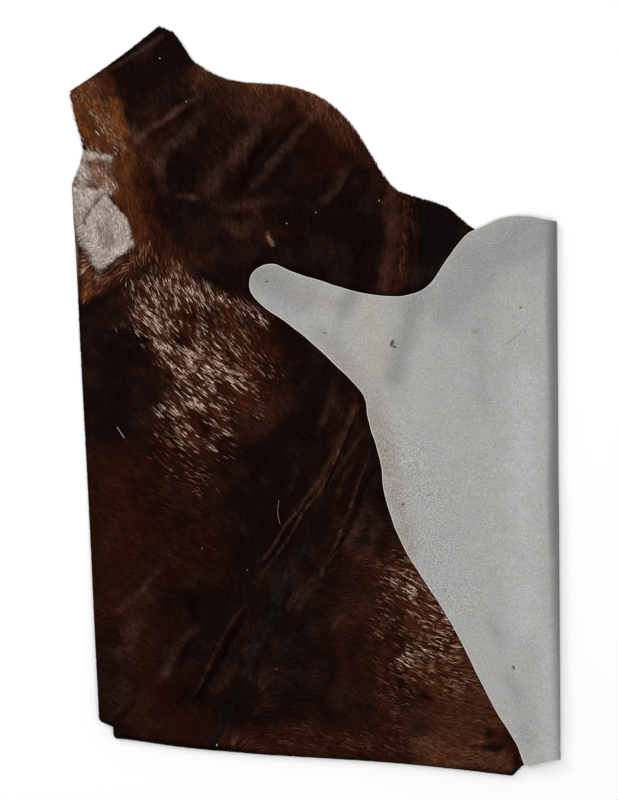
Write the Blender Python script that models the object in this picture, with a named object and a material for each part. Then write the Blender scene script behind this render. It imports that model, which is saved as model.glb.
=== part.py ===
"""Cowhide rug: one whole hide, lying folded.

The hide is drawn open, as a flat outline with its tail root at the top. It is then folded by a
map from the open hide to the folded one: the left flank, the left hind leg's tip and the whole
front half go under, and the right flank comes over, with its flesh side up.
The lying layers are numbered by rank: 0 and 1 are the front half, 2 the left flank and the leg's
tip, 3 the top of the back, and 4 the flap that lies over it.
"""

from collections import namedtuple

import bmesh
import bpy
import numpy as np
from mathutils import Vector

# The sheet, in metres: leather with its coat lying flat
THICKNESS = 0.0035
LAYER_STEP = 0.0055
TIGHT_BEND = 0.00325
FRONT_BEND = TIGHT_BEND + LAYER_STEP
FLAP_BEND = 0.0095

# How far the side folds stay off the floor, so that the level layers alone carry the hide
BEND_LIFT = 0.0003

# How far a layer stays level past the edge of the one under it, and then sinks
LEVEL_REACH = 0.050
SINK_REACH = 0.110
FRONT_SETTLE = 0.060
FLAP_SETTLE = 0.100

# The open hide's place on the floor
TAIL_ROOT = np.array([0.2937, 0.4114])
SPINE_TURN = np.radians(23.9)
ALONG = np.array([-np.sin(SPINE_TURN), -np.cos(SPINE_TURN)])
ACROSS = np.array([-np.cos(SPINE_TURN), np.sin(SPINE_TURN)])

# The mesh: grid spacing, outline spacing and facets in a bend
GRID = 0.055
OUTLINE_STEP = 0.034
BEND_FACETS = 6
WRINKLE_CUTS = (-0.6, 0.0, 0.6)
NOTCH_CUTS = 4

# How near a cut may pass a corner of the sheet and still go through it, and what is merged
SNAP = 0.0015
EXACT = 0.0002
MERGE = 0.0006

# A landmark on the outline: across from the spine, and along it from the tail root
Landmark = namedtuple("Landmark", "place across along")

LEFT_SIDE = (
    Landmark("tail", 0.010, -0.011),
    Landmark("tail", 0.075, -0.004),
    Landmark("tail", 0.125, 0.002),
    Landmark("rump", 0.150, -0.006),
    Landmark("rump", 0.205, -0.042),
    Landmark("rump", 0.260, -0.079),
    Landmark("rump", 0.320, -0.107),
    Landmark("rump", 0.385, -0.118),
    Landmark("rump", 0.455, -0.107),
    Landmark("thigh", 0.530, -0.079),
    Landmark("thigh", 0.570, -0.069),
    Landmark("thigh", 0.610, -0.067),
    Landmark("shank", 0.650, -0.077),
    Landmark("shank", 0.685, -0.100),
    Landmark("shank", 0.715, -0.117),
    Landmark("shank", 0.750, -0.116),
    Landmark("leg tip", 0.800, -0.125),
    Landmark("leg tip", 0.860, -0.140),
    Landmark("leg tip", 0.915, -0.140),
    Landmark("leg tip", 0.945, -0.110),
    Landmark("leg tip", 0.945, -0.060),
    Landmark("leg tip", 0.915, 0.020),
    Landmark("leg back", 0.868, 0.093),
    Landmark("leg back", 0.842, 0.131),
    Landmark("leg back", 0.808, 0.171),
    Landmark("leg back", 0.792, 0.189),
    Landmark("leg back", 0.785, 0.225),
    Landmark("flank", 0.781, 0.275),
    Landmark("flank", 0.800, 0.330),
    Landmark("flank", 0.825, 0.430),
    Landmark("belly", 0.808, 0.600),
    Landmark("belly", 0.798, 0.820),
    Landmark("belly", 0.775, 1.000),
    Landmark("armpit", 0.730, 1.180),
    Landmark("foreleg", 0.750, 1.350),
    Landmark("foreleg", 0.815, 1.480),
    Landmark("foreleg", 0.820, 1.560),
    Landmark("foreleg", 0.770, 1.600),
    Landmark("shoulder", 0.650, 1.605),
    Landmark("shoulder", 0.560, 1.640),
    Landmark("shoulder", 0.330, 1.810),
    Landmark("neck", 0.215, 1.925),
    Landmark("neck", 0.175, 2.060),
    Landmark("neck end", 0.150, 2.130),
    Landmark("neck end", 0.060, 2.140),
)

RIGHT_SIDE = (
    Landmark("tail", 0.055, 0.009),
    Landmark("tail", 0.100, 0.009),
    Landmark("rump", 0.155, -0.025),
    Landmark("rump", 0.230, -0.083),
    Landmark("rump", 0.295, -0.128),
    Landmark("rump", 0.335, -0.141),
    Landmark("rump", 0.390, -0.142),
    Landmark("rump", 0.420, -0.140),
    Landmark("thigh", 0.480, -0.110),
    Landmark("thigh", 0.530, -0.079),
    Landmark("thigh", 0.560, -0.070),
    Landmark("thigh", 0.600, -0.074),
    Landmark("shank", 0.675, -0.113),
    Landmark("shank", 0.745, -0.172),
    Landmark("shank", 0.800, -0.222),
    Landmark("leg tip", 0.835, -0.258),
    Landmark("leg tip", 0.865, -0.264),
    Landmark("leg tip", 0.890, -0.254),
    Landmark("leg tip", 0.904, -0.225),
    Landmark("leg back", 0.892, -0.182),
    Landmark("leg back", 0.860, -0.128),
    Landmark("leg back", 0.827, -0.062),
    Landmark("leg back", 0.798, 0.011),
    Landmark("leg back", 0.777, 0.068),
    Landmark("leg back", 0.774, 0.100),
    Landmark("flank", 0.785, 0.135),
    Landmark("flank", 0.800, 0.235),
    Landmark("flank", 0.822, 0.305),
    Landmark("flank", 0.832, 0.410),
    Landmark("belly", 0.823, 0.502),
    Landmark("belly", 0.807, 0.615),
    Landmark("belly", 0.802, 0.720),
    Landmark("belly", 0.798, 0.830),
    Landmark("belly", 0.786, 0.925),
    Landmark("belly end", 0.789, 0.970),
    Landmark("belly end", 0.780, 0.976),
    Landmark("belly end", 0.720, 0.988),
    Landmark("armpit", 0.655, 1.020),
    Landmark("armpit", 0.629, 1.052),
    Landmark("armpit", 0.621, 1.080),
    Landmark("armpit", 0.650, 1.130),
    Landmark("foreleg", 0.725, 1.235),
    Landmark("foreleg", 0.770, 1.350),
    Landmark("foreleg", 0.800, 1.470),
    Landmark("foreleg", 0.795, 1.560),
    Landmark("foreleg", 0.740, 1.600),
    Landmark("shoulder", 0.650, 1.605),
    Landmark("shoulder", 0.560, 1.640),
    Landmark("shoulder", 0.330, 1.810),
    Landmark("neck", 0.215, 1.925),
    Landmark("neck", 0.175, 2.060),
    Landmark("neck end", 0.150, 2.130),
    Landmark("neck end", 0.060, 2.140),
)

# A fold: two points on its visible edge, with the hide's kept side on the left of start to end
Fold = namedtuple("Fold", "place start end bend")

LEFT_FOLD = Fold("left flank", (-0.535, 0.475), (-0.474, -0.695), TIGHT_BEND)
FRONT_FOLD = Fold("front half", (-0.438, -0.741), (0.426, -0.820), FRONT_BEND)
FLAP_FOLD = Fold("right flank", (0.536, -0.769), (0.529, 0.392), FLAP_BEND)
LEG_FOLD = Fold("left leg's tip", (-0.346, 0.823), (-0.541, 0.680), TIGHT_BEND)

# The left fold ends where the flank's cut edge goes under, below the hind leg's narrow part
LEG_WAIST = 0.550
FLANK_TOP = 0.474

# How far the folds' visible edges stray from straight
FRONT_WAVE = 0.0045
LEG_SAG = 0.004
WAVE_REACH = 0.150

# The folded corner at the lower left is pushed in below NOTCH_TOP
NOTCH_TOP = -0.694
NOTCH_BOTTOM = -0.711
NOTCH_PUSH = 0.030
NOTCH_REACH = 0.200

# A soft wrinkle in the back, from one place on the floor to another
Wrinkle = namedtuple("Wrinkle", "start end width height")
WRINKLE_BLUNTNESS = 0.6

WRINKLES = (
    Wrinkle((0.085, -0.010), (-0.170, -0.350), 0.050, 0.0050),
    Wrinkle((0.060, -0.195), (-0.060, -0.435), 0.050, 0.0045),
    Wrinkle((-0.190, -0.435), (-0.265, -0.635), 0.055, 0.0050),
    Wrinkle((-0.100, 0.640), (-0.200, 0.465), 0.045, 0.0040),
    Wrinkle((-0.015, 0.665), (-0.155, 0.465), 0.045, 0.0040),
    Wrinkle((-0.255, 0.620), (-0.335, 0.510), 0.045, 0.0040),
)

COAT_COLOUR = (0.045, 0.018, 0.010, 1.0)
COAT_ROUGHNESS = 0.55


def clear_scene():
    for obj in list(bpy.data.objects):
        bpy.data.objects.remove(obj, do_unlink=True)


def smooth_step(amount):
    """0 at 0 and below, 1 at 1 and above, level at both ends."""
    amount = np.clip(amount, 0.0, 1.0)
    return amount * amount * (3.0 - 2.0 * amount)


def axis_of(fold):
    """The fold's axis, a bend and half a thickness inside its visible edge: (point, outward)."""
    start = np.array(fold.start)
    way = np.array(fold.end) - start
    way /= np.linalg.norm(way)
    outward = np.array([way[1], -way[0]])
    return start - (fold.bend + THICKNESS / 2) * outward, outward


def past(points, fold):
    """How far each point lies past the fold's axis."""
    point, outward = axis_of(fold)
    return (points - point) @ outward


def unfolded(points, fold):
    """Where on the open sheet the layer folded at this axis comes from."""
    outward = axis_of(fold)[1]
    inside = -past(points, fold)
    return points + np.outer(2.0 * inside + np.pi * fold.bend, outward)


def landmark_loop():
    """The landmarks of both sides in one loop, as places on the floor."""
    left = [(mark.across, mark.along) for mark in LEFT_SIDE]
    right = [(-mark.across, mark.along) for mark in RIGHT_SIDE]
    loop = np.array(left + right[::-1])
    return TAIL_ROOT + np.outer(loop[:, 0], ACROSS) + np.outer(loop[:, 1], ALONG)


def smooth_loop(marks, step):
    """A closed curve through the marks, a centripetal Catmull-Rom spline, with points about a step apart."""
    points = []
    count = len(marks)
    for i in range(count):
        a, b, c, d = (marks[(i + k) % count] for k in (-1, 0, 1, 2))
        t1 = np.sqrt(np.linalg.norm(b - a))
        t2 = t1 + np.sqrt(np.linalg.norm(c - b))
        t3 = t2 + np.sqrt(np.linalg.norm(d - c))
        pieces = max(1, round(np.linalg.norm(c - b) / step))
        for t in np.linspace(t1, t2, pieces, endpoint=False):
            ab = (a * (t1 - t) + b * t) / t1
            bc = (b * (t2 - t) + c * (t - t1)) / (t2 - t1)
            cd = (c * (t3 - t) + d * (t - t2)) / (t3 - t2)
            abc = (ab * (t2 - t) + bc * t) / t2
            bcd = (bc * (t3 - t) + cd * (t - t1)) / (t3 - t1)
            points.append((abc * (t2 - t) + bcd * (t - t1)) / (t2 - t1))
    return np.array(points)


def outside(points, outline):
    """How far each point lies outside the outline, or 0 inside it."""
    ends = np.roll(outline, -1, axis=0)
    way = ends - outline
    reach = points[:, None, :] - outline[None, :, :]
    share = np.clip((reach * way).sum(2) / (way * way).sum(1), 0.0, 1.0)
    away = np.linalg.norm(reach - share[:, :, None] * way, axis=2).min(1)
    spans = (outline[:, 1] > points[:, 1:]) != (ends[:, 1] > points[:, 1:])
    rise = np.where(way[:, 1] == 0.0, 1.0, way[:, 1])
    crossing = outline[:, 0] + reach[:, :, 1] * way[:, 0] / rise
    inside = (spans & (points[:, :1] < crossing)).sum(1) % 2 == 1
    return np.where(inside, 0.0, away)


def under(away):
    """1 over a lower layer and near its edge, sinking to 0 further out."""
    return 1.0 - smooth_step((away - LEVEL_REACH) / SINK_REACH)


def near(points, fold, reach):
    """1 at the fold's axis, falling to 0 a reach inside it."""
    return 1.0 - smooth_step(-past(points, fold) / reach)


def wrinkle_height(points):
    """The height of the soft wrinkles, each fading at its ends and sides."""
    height = np.zeros(len(points))
    for wrinkle in WRINKLES:
        start = np.array(wrinkle.start)
        way = np.array(wrinkle.end) - start
        share = (points - start) @ way / (way @ way)
        side = np.abs((points - start) @ np.array([-way[1], way[0]])) / np.linalg.norm(way)
        along = np.sin(np.pi * np.clip(share, 0.0, 1.0)) ** WRINKLE_BLUNTNESS
        cross = 1.0 - smooth_step(side / wrinkle.width)
        height = np.maximum(height, wrinkle.height * along * cross)
    return height


def layer_heights(points, outline):
    """The heights of the ranks 0 to 4 over each place on the floor, as five columns."""
    front = unfolded(points, FRONT_FOLD)
    front_wing = unfolded(front, LEFT_FOLD)
    left_wing = unfolded(points, LEFT_FOLD)
    leg_tip = unfolded(points, LEG_FOLD)
    over_front = under(np.maximum(outside(front, outline), past(front, LEFT_FOLD)))
    over_front_wing = under(np.maximum(outside(front_wing, outline), past(front, LEFT_FOLD)))
    over_left = under(np.maximum(outside(left_wing, outline), points[:, 1] - FLANK_TOP))
    over_leg = under(outside(leg_tip, outline))
    over_back = under(outside(points, outline))
    over_wing = np.maximum(over_left, over_leg)

    tight_rise = 2.0 * TIGHT_BEND - LAYER_STEP
    wing_near = np.maximum(near(points, LEFT_FOLD, FRONT_SETTLE), near(points, LEG_FOLD, FRONT_SETTLE))
    stack = LAYER_STEP * (over_front + over_front_wing + over_wing)
    front_rise = np.maximum(0.0, 2.0 * FRONT_BEND - stack) * near(points, FRONT_FOLD, FRONT_SETTLE)
    flap_rise = (2.0 * FLAP_BEND - LAYER_STEP) * near(points, FLAP_FOLD, FLAP_SETTLE)

    floor = np.full(len(points), THICKNESS / 2)
    first = floor + LAYER_STEP * over_front + tight_rise * near(front, LEFT_FOLD, FRONT_SETTLE) * over_front
    second = first + LAYER_STEP * over_front_wing + front_rise + BEND_LIFT * wing_near
    edge_fade = 1.0 - near(points, FRONT_FOLD, FRONT_SETTLE)
    third = second + LAYER_STEP * over_wing + tight_rise * wing_near + wrinkle_height(points) * edge_fade
    fourth = third + LAYER_STEP * over_back + flap_rise
    return np.stack([floor, first, second, third, fourth], axis=1)


def height_at(heights, rank):
    """The height at a rank between whole ones, as in a bend."""
    rank = np.clip(rank, 0.0, 4.0)
    lower = np.minimum(rank.astype(int), 3)
    row = np.arange(len(rank))
    share = rank - lower
    return heights[row, lower] * (1.0 - share) + heights[row, lower + 1] * share


def fold_points(points, fold):
    """Turns what lies past the axis back over it: (place under the bend, turn from 0 to pi)."""
    outward = axis_of(fold)[1]
    beyond = past(points, fold)
    if fold is LEFT_FOLD:
        beyond = np.where(points[:, 1] < LEG_WAIST, beyond, 0.0)
    turn = np.clip(beyond / fold.bend, 0.0, np.pi)
    back = np.maximum(beyond, 0.0) + np.maximum(beyond - np.pi * fold.bend, 0.0)
    return points - np.outer(back, outward), turn


def stray(points):
    """How far the folded layers are pushed sideways together, which makes the folds' edges uneven."""
    start = np.array(FRONT_FOLD.start)
    way = np.array(FRONT_FOLD.end) - start
    share = (points - start) @ way / (way @ way)
    wave = FRONT_WAVE * np.sin(2.0 * np.pi * np.clip(share, 0.0, 1.0))
    push = np.outer(wave * near(points, FRONT_FOLD, WAVE_REACH), axis_of(FRONT_FOLD)[1])

    start = np.array(LEG_FOLD.start)
    way = np.array(LEG_FOLD.end) - start
    share = (points - start) @ way / (way @ way)
    sag = LEG_SAG * np.sin(np.pi * np.clip(share, 0.0, 1.0))
    push -= np.outer(sag * near(points, LEG_FOLD, WAVE_REACH), axis_of(LEG_FOLD)[1])

    below = smooth_step((NOTCH_TOP - points[:, 1]) / (NOTCH_TOP - NOTCH_BOTTOM))
    push[:, 0] += NOTCH_PUSH * below * near(points, LEFT_FOLD, NOTCH_REACH)
    return push


def turned_with_edge(bulge, points, step=0.0005):
    """Turns each bend's bulge, so that it stays square to its edge where the edge strays."""
    base = stray(points)
    by_x = (stray(points + np.array([step, 0.0])) - base) / step
    by_y = (stray(points + np.array([0.0, step])) - base) / step
    turned = np.stack([
        (1.0 + by_y[:, 1]) * bulge[:, 0] - by_x[:, 1] * bulge[:, 1],
        (1.0 + by_x[:, 0]) * bulge[:, 1] - by_y[:, 0] * bulge[:, 0],
    ], axis=1)
    length = np.maximum(np.linalg.norm(turned, axis=1), 1e-12)
    return turned * (np.linalg.norm(bulge, axis=1) / length)[:, None]


def folded(points, outline):
    """Maps places on the open hide to places in the folded one."""
    place = points.copy()
    bulge = np.zeros_like(points)
    rank = np.full(len(points), 3.0)
    for fold, step in ((LEFT_FOLD, -1.0), (LEG_FOLD, -1.0), (FLAP_FOLD, 1.0)):
        place, turn = fold_points(place, fold)
        bulge += np.outer(fold.bend * np.sin(turn), axis_of(fold)[1])
        rank += step * (1.0 - np.cos(turn)) / 2

    place, turn = fold_points(place, FRONT_FOLD)
    outward = axis_of(FRONT_FOLD)[1]
    bulge += np.outer((np.cos(turn) - 1.0) * (bulge @ outward), outward)
    layer_bend = FRONT_BEND - LAYER_STEP * (3.0 - rank)
    bulge += np.outer(layer_bend * np.sin(turn), outward)

    heights = layer_heights(place, outline)
    above = height_at(heights, rank)
    below = height_at(heights, 3.0 - rank)
    height = (above + below) / 2 + (above - below) / 2 * np.cos(turn)
    return np.column_stack([place + stray(place) + turned_with_edge(bulge, place), height])


def cut(bm, point, outward, snap, keep=None):
    """Cuts the faces that keep() picks along a line on the floor."""
    faces = [face for face in bm.faces if keep is None or keep(face.calc_center_median())]
    edges = {edge for face in faces for edge in face.edges}
    verts = {vert for face in faces for vert in face.verts}
    bmesh.ops.bisect_plane(
        bm,
        geom=faces + list(edges) + list(verts),
        dist=snap,
        plane_co=Vector((*point, 0.0)),
        plane_no=Vector((*outward, 0.0)),
    )


def cut_bend(bm, fold, keep=None):
    """Cuts the sheet where each facet of a bend starts and ends."""
    point, outward = axis_of(fold)
    for i in range(BEND_FACETS + 1):
        cut(bm, point + np.pi * fold.bend * i / BEND_FACETS * outward, outward, EXACT, keep)


def mirrored(point, outward, fold):
    """A line on what is folded at this axis, taken back to the open sheet."""
    spots = np.array([point, point + np.array([-outward[1], outward[0]])])
    spots = unfolded(spots, fold)
    way = spots[1] - spots[0]
    return spots[0], np.array([way[1], -way[0]])


def cut_grid(bm, outline):
    """Cuts the sheet into a grid along and across the spine."""
    along = (outline - TAIL_ROOT) @ ALONG
    across = (outline - TAIL_ROOT) @ ACROSS
    for reach, way in ((along, ALONG), (across, ACROSS)):
        for i in range(int(np.ceil(reach.min() / GRID)), int(reach.max() / GRID) + 1):
            cut(bm, TAIL_ROOT + i * GRID * way, way, SNAP)


def cut_wrinkles(bm):
    """Cuts along each wrinkle's crest and down its sides."""
    for wrinkle in WRINKLES:
        start = np.array(wrinkle.start)
        way = np.array(wrinkle.end) - start
        length = np.linalg.norm(way)
        sideways = np.array([-way[1], way[0]]) / length

        def close(centre):
            spot = np.array(centre[:2]) - start
            return abs(spot @ sideways) < 2 * wrinkle.width and -GRID < spot @ way / length < length + GRID

        for offset in WRINKLE_CUTS:
            cut(bm, start + offset * wrinkle.width * sideways, sideways, SNAP, close)


def layer_of(centre):
    """The rank of the layer that a face ends up in, from 0 to 3."""
    place, side_turn = fold_points(np.array([centre[:2]]), LEFT_FOLD)
    front_turn = fold_points(place, FRONT_FOLD)[1]
    rank = 2 if side_turn[0] > np.pi / 2 else 3
    return 3 - rank if front_turn[0] > np.pi / 2 else rank


def cut_notch(bm):
    """Cuts all four layers at the left where the notch in the corner starts and ends."""
    for height in np.linspace(NOTCH_TOP, NOTCH_BOTTOM, NOTCH_CUTS):
        line = (np.array([0.0, height]), np.array([0.0, 1.0]))
        front_line = mirrored(*line, FRONT_FOLD)
        cut(bm, *line, EXACT, lambda centre: layer_of(centre) == 3)
        cut(bm, *mirrored(*line, LEFT_FOLD), EXACT, lambda centre: layer_of(centre) == 2)
        cut(bm, *front_line, EXACT, lambda centre: layer_of(centre) == 0)
        cut(bm, *mirrored(*front_line, LEFT_FOLD), EXACT, lambda centre: layer_of(centre) == 1)


def open_sheet(outline):
    """The open hide as a flat triangulated sheet, cut where it will bend."""
    bm = bmesh.new()
    bm.faces.new([bm.verts.new((*point, 0.0)) for point in outline])

    def on_wing(centre):
        return layer_of(centre) in (1, 2)

    def below_leg(centre):
        return centre.y < LEG_WAIST

    cut(bm, np.array([0.0, LEG_WAIST]), np.array([0.0, 1.0]), EXACT)
    cut_bend(bm, LEFT_FOLD, below_leg)
    cut_bend(bm, LEG_FOLD)
    cut_bend(bm, FLAP_FOLD)
    cut_bend(bm, FRONT_FOLD, lambda centre: not on_wing(centre))
    point, outward = axis_of(FRONT_FOLD)
    for i in range(BEND_FACETS + 1):
        line = mirrored(point + np.pi * FRONT_BEND * i / BEND_FACETS * outward, outward, LEFT_FOLD)
        cut(bm, *line, EXACT, on_wing)
    cut_notch(bm)
    cut_wrinkles(bm)
    cut_grid(bm, outline)
    bmesh.ops.remove_doubles(bm, verts=bm.verts[:], dist=MERGE)
    bmesh.ops.triangulate(bm, faces=bm.faces[:], quad_method="BEAUTY", ngon_method="BEAUTY")
    return bm


def coat_material():
    material = bpy.data.materials.new("chestnut coat")
    material.use_nodes = True
    shader = material.node_tree.nodes["Principled BSDF"]
    shader.inputs["Base Color"].default_value = COAT_COLOUR
    shader.inputs["Roughness"].default_value = COAT_ROUGHNESS
    shader.inputs["Metallic"].default_value = 0.0
    return material


def centre(obj):
    """Moves the mesh sideways so that the thick sheet's middle is over the origin."""
    bpy.context.view_layer.update()
    evaluated = obj.evaluated_get(bpy.context.evaluated_depsgraph_get())
    corners = np.array([corner[:] for corner in evaluated.bound_box])
    middle = (corners.min(0) + corners.max(0)) / 2
    for vert in obj.data.vertices:
        vert.co -= Vector((middle[0], middle[1], 0.0))


def make_hide():
    outline = smooth_loop(landmark_loop(), OUTLINE_STEP)
    bm = open_sheet(outline)
    bm.verts.ensure_lookup_table()
    flat = np.array([vert.co[:2] for vert in bm.verts])
    for vert, place in zip(bm.verts, folded(flat, outline)):
        vert.co = place
    bmesh.ops.recalc_face_normals(bm, faces=bm.faces[:])
    mesh = bpy.data.meshes.new("hide")
    bm.to_mesh(mesh)
    bm.free()
    mesh.shade_smooth()
    mesh.materials.append(coat_material())
    hide = bpy.data.objects.new("hide", mesh)
    bpy.context.scene.collection.objects.link(hide)
    solidify = hide.modifiers.new("leather", "SOLIDIFY")
    solidify.thickness = THICKNESS
    solidify.offset = 0.0
    solidify.use_even_offset = True
    centre(hide)
    return hide


def main():
    clear_scene()
    make_hide()


main()
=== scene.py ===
"""Dresses the folded cowhide rug: the hide, its combed coat, the loose bits on it, and a studio.

The hide is drawn open and folded by the same map as its solid, on a finer mesh and with its
creases. Its coat is short hair, combed over the parts that show. Sizes are in metres, and the
rows of things placed one by one in millimetres. Places on the floor count from the middle of the
folded hide: X runs to the turned-over flank, and Y to the hind leg.
"""

from collections import namedtuple

import bmesh
import bpy
import numpy as np
from mathutils import Matrix, Vector


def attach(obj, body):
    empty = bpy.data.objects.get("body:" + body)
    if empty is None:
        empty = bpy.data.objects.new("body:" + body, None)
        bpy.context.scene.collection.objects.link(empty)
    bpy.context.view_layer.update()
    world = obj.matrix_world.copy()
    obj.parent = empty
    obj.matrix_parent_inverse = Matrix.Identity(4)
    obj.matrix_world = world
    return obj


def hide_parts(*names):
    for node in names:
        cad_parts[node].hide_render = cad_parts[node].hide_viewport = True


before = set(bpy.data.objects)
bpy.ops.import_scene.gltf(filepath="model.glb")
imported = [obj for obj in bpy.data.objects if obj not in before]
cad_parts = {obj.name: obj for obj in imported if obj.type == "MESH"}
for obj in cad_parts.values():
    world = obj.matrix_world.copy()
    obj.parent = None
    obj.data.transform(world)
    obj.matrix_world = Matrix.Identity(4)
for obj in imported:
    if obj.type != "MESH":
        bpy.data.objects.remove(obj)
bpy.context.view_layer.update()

bl_info = {
    "name": "Folded cowhide rug",
    "version": (1, 0, 0),
    "blender": (4, 5, 0),
    "location": "3D View > Sidebar > Cowhide",
    "description": "Makes a folded cowhide rug with its coat, and a studio to show it in",
    "category": "Object",
}

# ---------------------------------------------------------------- the folded sheet, as its solid

# The sheet's thickness, the height from layer to layer, the radii of the bends, and over which
# distances the layers sink past an edge under them and settle beside a bend
THICKNESS = 0.0035
LAYER_STEP = 0.0055
TIGHT_BEND = 0.00325
FRONT_BEND = TIGHT_BEND + LAYER_STEP
FLAP_BEND = 0.0095
BEND_LIFT = 0.0003
LEVEL_REACH = 0.050
SINK_REACH = 0.110
FRONT_SETTLE = 0.060
FLAP_SETTLE = 0.100

# The spine: where it starts at the tail, and the ways along and across it
TAIL_ROOT = np.array([0.2937, 0.4114])
SPINE_TURN = np.radians(23.9)
ALONG = np.array([-np.sin(SPINE_TURN), -np.cos(SPINE_TURN)])
ACROSS = np.array([-np.cos(SPINE_TURN), np.sin(SPINE_TURN)])

# The outline of each side of the open hide, in millimetres: (across from the spine, along it from
# the tail root)
LEFT_SIDE = (
    (10, -11), (75, -4), (125, 2), (150, -6), (205, -42), (260, -79), (320, -107), (385, -118),
    (455, -107), (530, -79), (570, -69), (610, -67), (650, -77), (685, -100), (715, -117),
    (750, -116), (800, -125), (860, -140), (915, -140), (945, -110), (945, -60), (915, 20),
    (868, 93), (842, 131), (808, 171), (792, 189), (785, 225), (781, 275), (800, 330), (825, 430),
    (808, 600), (798, 820), (775, 1000), (730, 1180), (750, 1350), (815, 1480), (820, 1560),
    (770, 1600), (650, 1605), (560, 1640), (330, 1810), (215, 1925), (175, 2060), (150, 2130),
    (60, 2140),
)
RIGHT_SIDE = (
    (55, 9), (100, 9), (155, -25), (230, -83), (295, -128), (335, -141), (390, -142), (420, -140),
    (480, -110), (530, -79), (560, -70), (600, -74), (675, -113), (745, -172), (800, -222),
    (835, -258), (865, -264), (890, -254), (904, -225), (892, -182), (860, -128), (827, -62),
    (798, 11), (777, 68), (774, 100), (785, 135), (800, 235), (822, 305), (832, 410), (823, 502),
    (807, 615), (802, 720), (798, 830), (786, 925), (789, 970), (780, 976), (720, 988), (655, 1020),
    (629, 1052), (621, 1080), (650, 1130), (725, 1235), (770, 1350), (800, 1470), (795, 1560),
    (740, 1600), (650, 1605), (560, 1640), (330, 1810), (215, 1925), (175, 2060), (150, 2130),
    (60, 2140),
)

# A fold: two points on its visible edge, with the hide's kept side on the left of start to end
Fold = namedtuple("Fold", "start end bend")

LEFT_FOLD = Fold((-0.535, 0.475), (-0.474, -0.695), TIGHT_BEND)
FRONT_FOLD = Fold((-0.438, -0.741), (0.426, -0.820), FRONT_BEND)
FLAP_FOLD = Fold((0.536, -0.769), (0.529, 0.392), FLAP_BEND)
LEG_FOLD = Fold((-0.346, 0.823), (-0.541, 0.680), TIGHT_BEND)

# Where the left fold ends at the leg, how uneven the front's and the leg's edges are, and the
# notch where the lower left corner is pushed in
LEG_WAIST = 0.550
FLANK_TOP = 0.474
FRONT_WAVE = 0.0045
LEG_SAG = 0.004
WAVE_REACH = 0.150
NOTCH_TOP = -0.694
NOTCH_BOTTOM = -0.711
NOTCH_PUSH = 0.030
NOTCH_REACH = 0.200

# The broad wrinkles of the solid, in millimetres: start, end, width, height
BROAD_WRINKLES = (
    ((85, -10), (-170, -350), 50, 5),
    ((60, -195), (-60, -435), 50, 4.5),
    ((-190, -435), (-265, -635), 55, 5),
    ((-100, 640), (-200, 465), 45, 4),
    ((-15, 665), (-155, 465), 45, 4),
    ((-255, 620), (-335, 510), 45, 4),
)
WRINKLE_BLUNTNESS = 0.6

# The mesh: outline spacing, grids, cuts in a bend, and the pale border along the cut edge
OUTLINE_STEP = 0.034
EDGE_STEP = 0.008
EDGE_WANDER = 0.021
EDGE_SEEDS = (11, 12)
GRID = 0.052
FINE_CUTS = 2
TIGHT_STRIPS = 2
WIDE_STRIPS = 3
NOTCH_CUTS = 4
BORDER = 0.0015
SNAP = 0.0012
EXACT = 0.0002
MERGE = 0.0005
SEAM_MARGIN = 0.030
NARROW_CREASE = 0.012

# How far apart slopes are taken, on the folds' uneven edges and on the folded sheet
STRAY_STEP, SLOPE_STEP = 0.0005, 0.0008

# The names of what is stored in the meshes
PATTERN = "pattern"
COAT = "coat"
SUEDE = "suede"

# Slots of the sheet's materials: the solidified side comes one slot after the drawn side
COAT_SLOT, BORDER_SLOT, SLOT_STEP = 0, 2, 1

# How finely the height and look of the hide are worked out over the floor
FLOOR_LOW = np.array([-0.62, -0.90])
FLOOR_HIGH = np.array([0.62, 0.90])
HEIGHT_PITCH = 0.006
LOOK_PITCH = 0.0015
EDGE_PITCH = 0.006
CHUNKS = 60

# ---------------------------------------------------------------- creases, hair and colours

# The creases' relief, which is wider than their sheen: factor, margin, and depth at most
RELIEF_SPREAD = 1.4
RELIEF_MARGIN = 0.004
CREASE_DEPTH = 0.0015
# How far a crease's width and sheen vary, over which distance, and their first seeds
CREASE_UNEVEN, UNEVEN_SIZE, CREASE_SEED = 0.35, 0.018, 40
SHEEN_UNEVEN, SHEEN_SIZE, SHEEN_SEED = 0.7, 0.012, 140
PATCHY_SHEEN = (0.1, 2.0)
# Which part of half a wave tapers a crease from end to end
CREASE_START, CREASE_RUN = 0.03, 0.94
# Soft swells all over the coat, in height and in painted sheen: amount, size and seed
SWELLS = ((0.0008, 0.110, 31), (0.0004, 0.045, 32))
SHEEN_SWELLS = ((0.07, 0.055, 33), (0.05, 0.022, 34))
FRONT_FADE = 0.035
# The darkest painted shade in a trough, and how much of the painted glow the palest ridge takes
DARKEST_TROUGH = -0.9
GLOW_SHARE = 0.8

# How far a patch's edge strays, as a share of its softness, how coarsely, and its first seed
PATCH_STRAY, TINT_STRAY = 0.35, 0.15
STRAY_SIZE = 0.4
STRAY_LEAST = 0.006
STRAY_MARGIN = 0.01
PATCH_SEED, TINT_SEED = 70, 270
LATTICE = 97

# The hair: how its lay blends, where it starts, which part of it shows, and how densely it grows
LAY_BLUR = 0.012
ROOT_INSET = 0.0004
TUCK = 0.008
HAIR_TURN = 0.75 * np.pi
SHOWN_PART = 0.5
LOCKS_DEEP = 5.0
TOP_LIFT = 0.0008
DARK_DENSITY = 0.52
MOST_TRIANGLES = 198000
# Its streaks, its clumps and the streaks of the dark hair under it: length, width and seed
STREAK_STEPS = 9
STREAKS = (0.011, 0.0014, 21)
CLUMPS = (0.024, 0.0070, 22)
GROUND = (0.011, 0.0014, 23)
# From which brightness hair is pale and its ground fur, and from which pale share it is fine
PALE_HAIR, PALE_FUR, FINE_HAIR = 0.15, 0.12, 0.25
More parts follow.
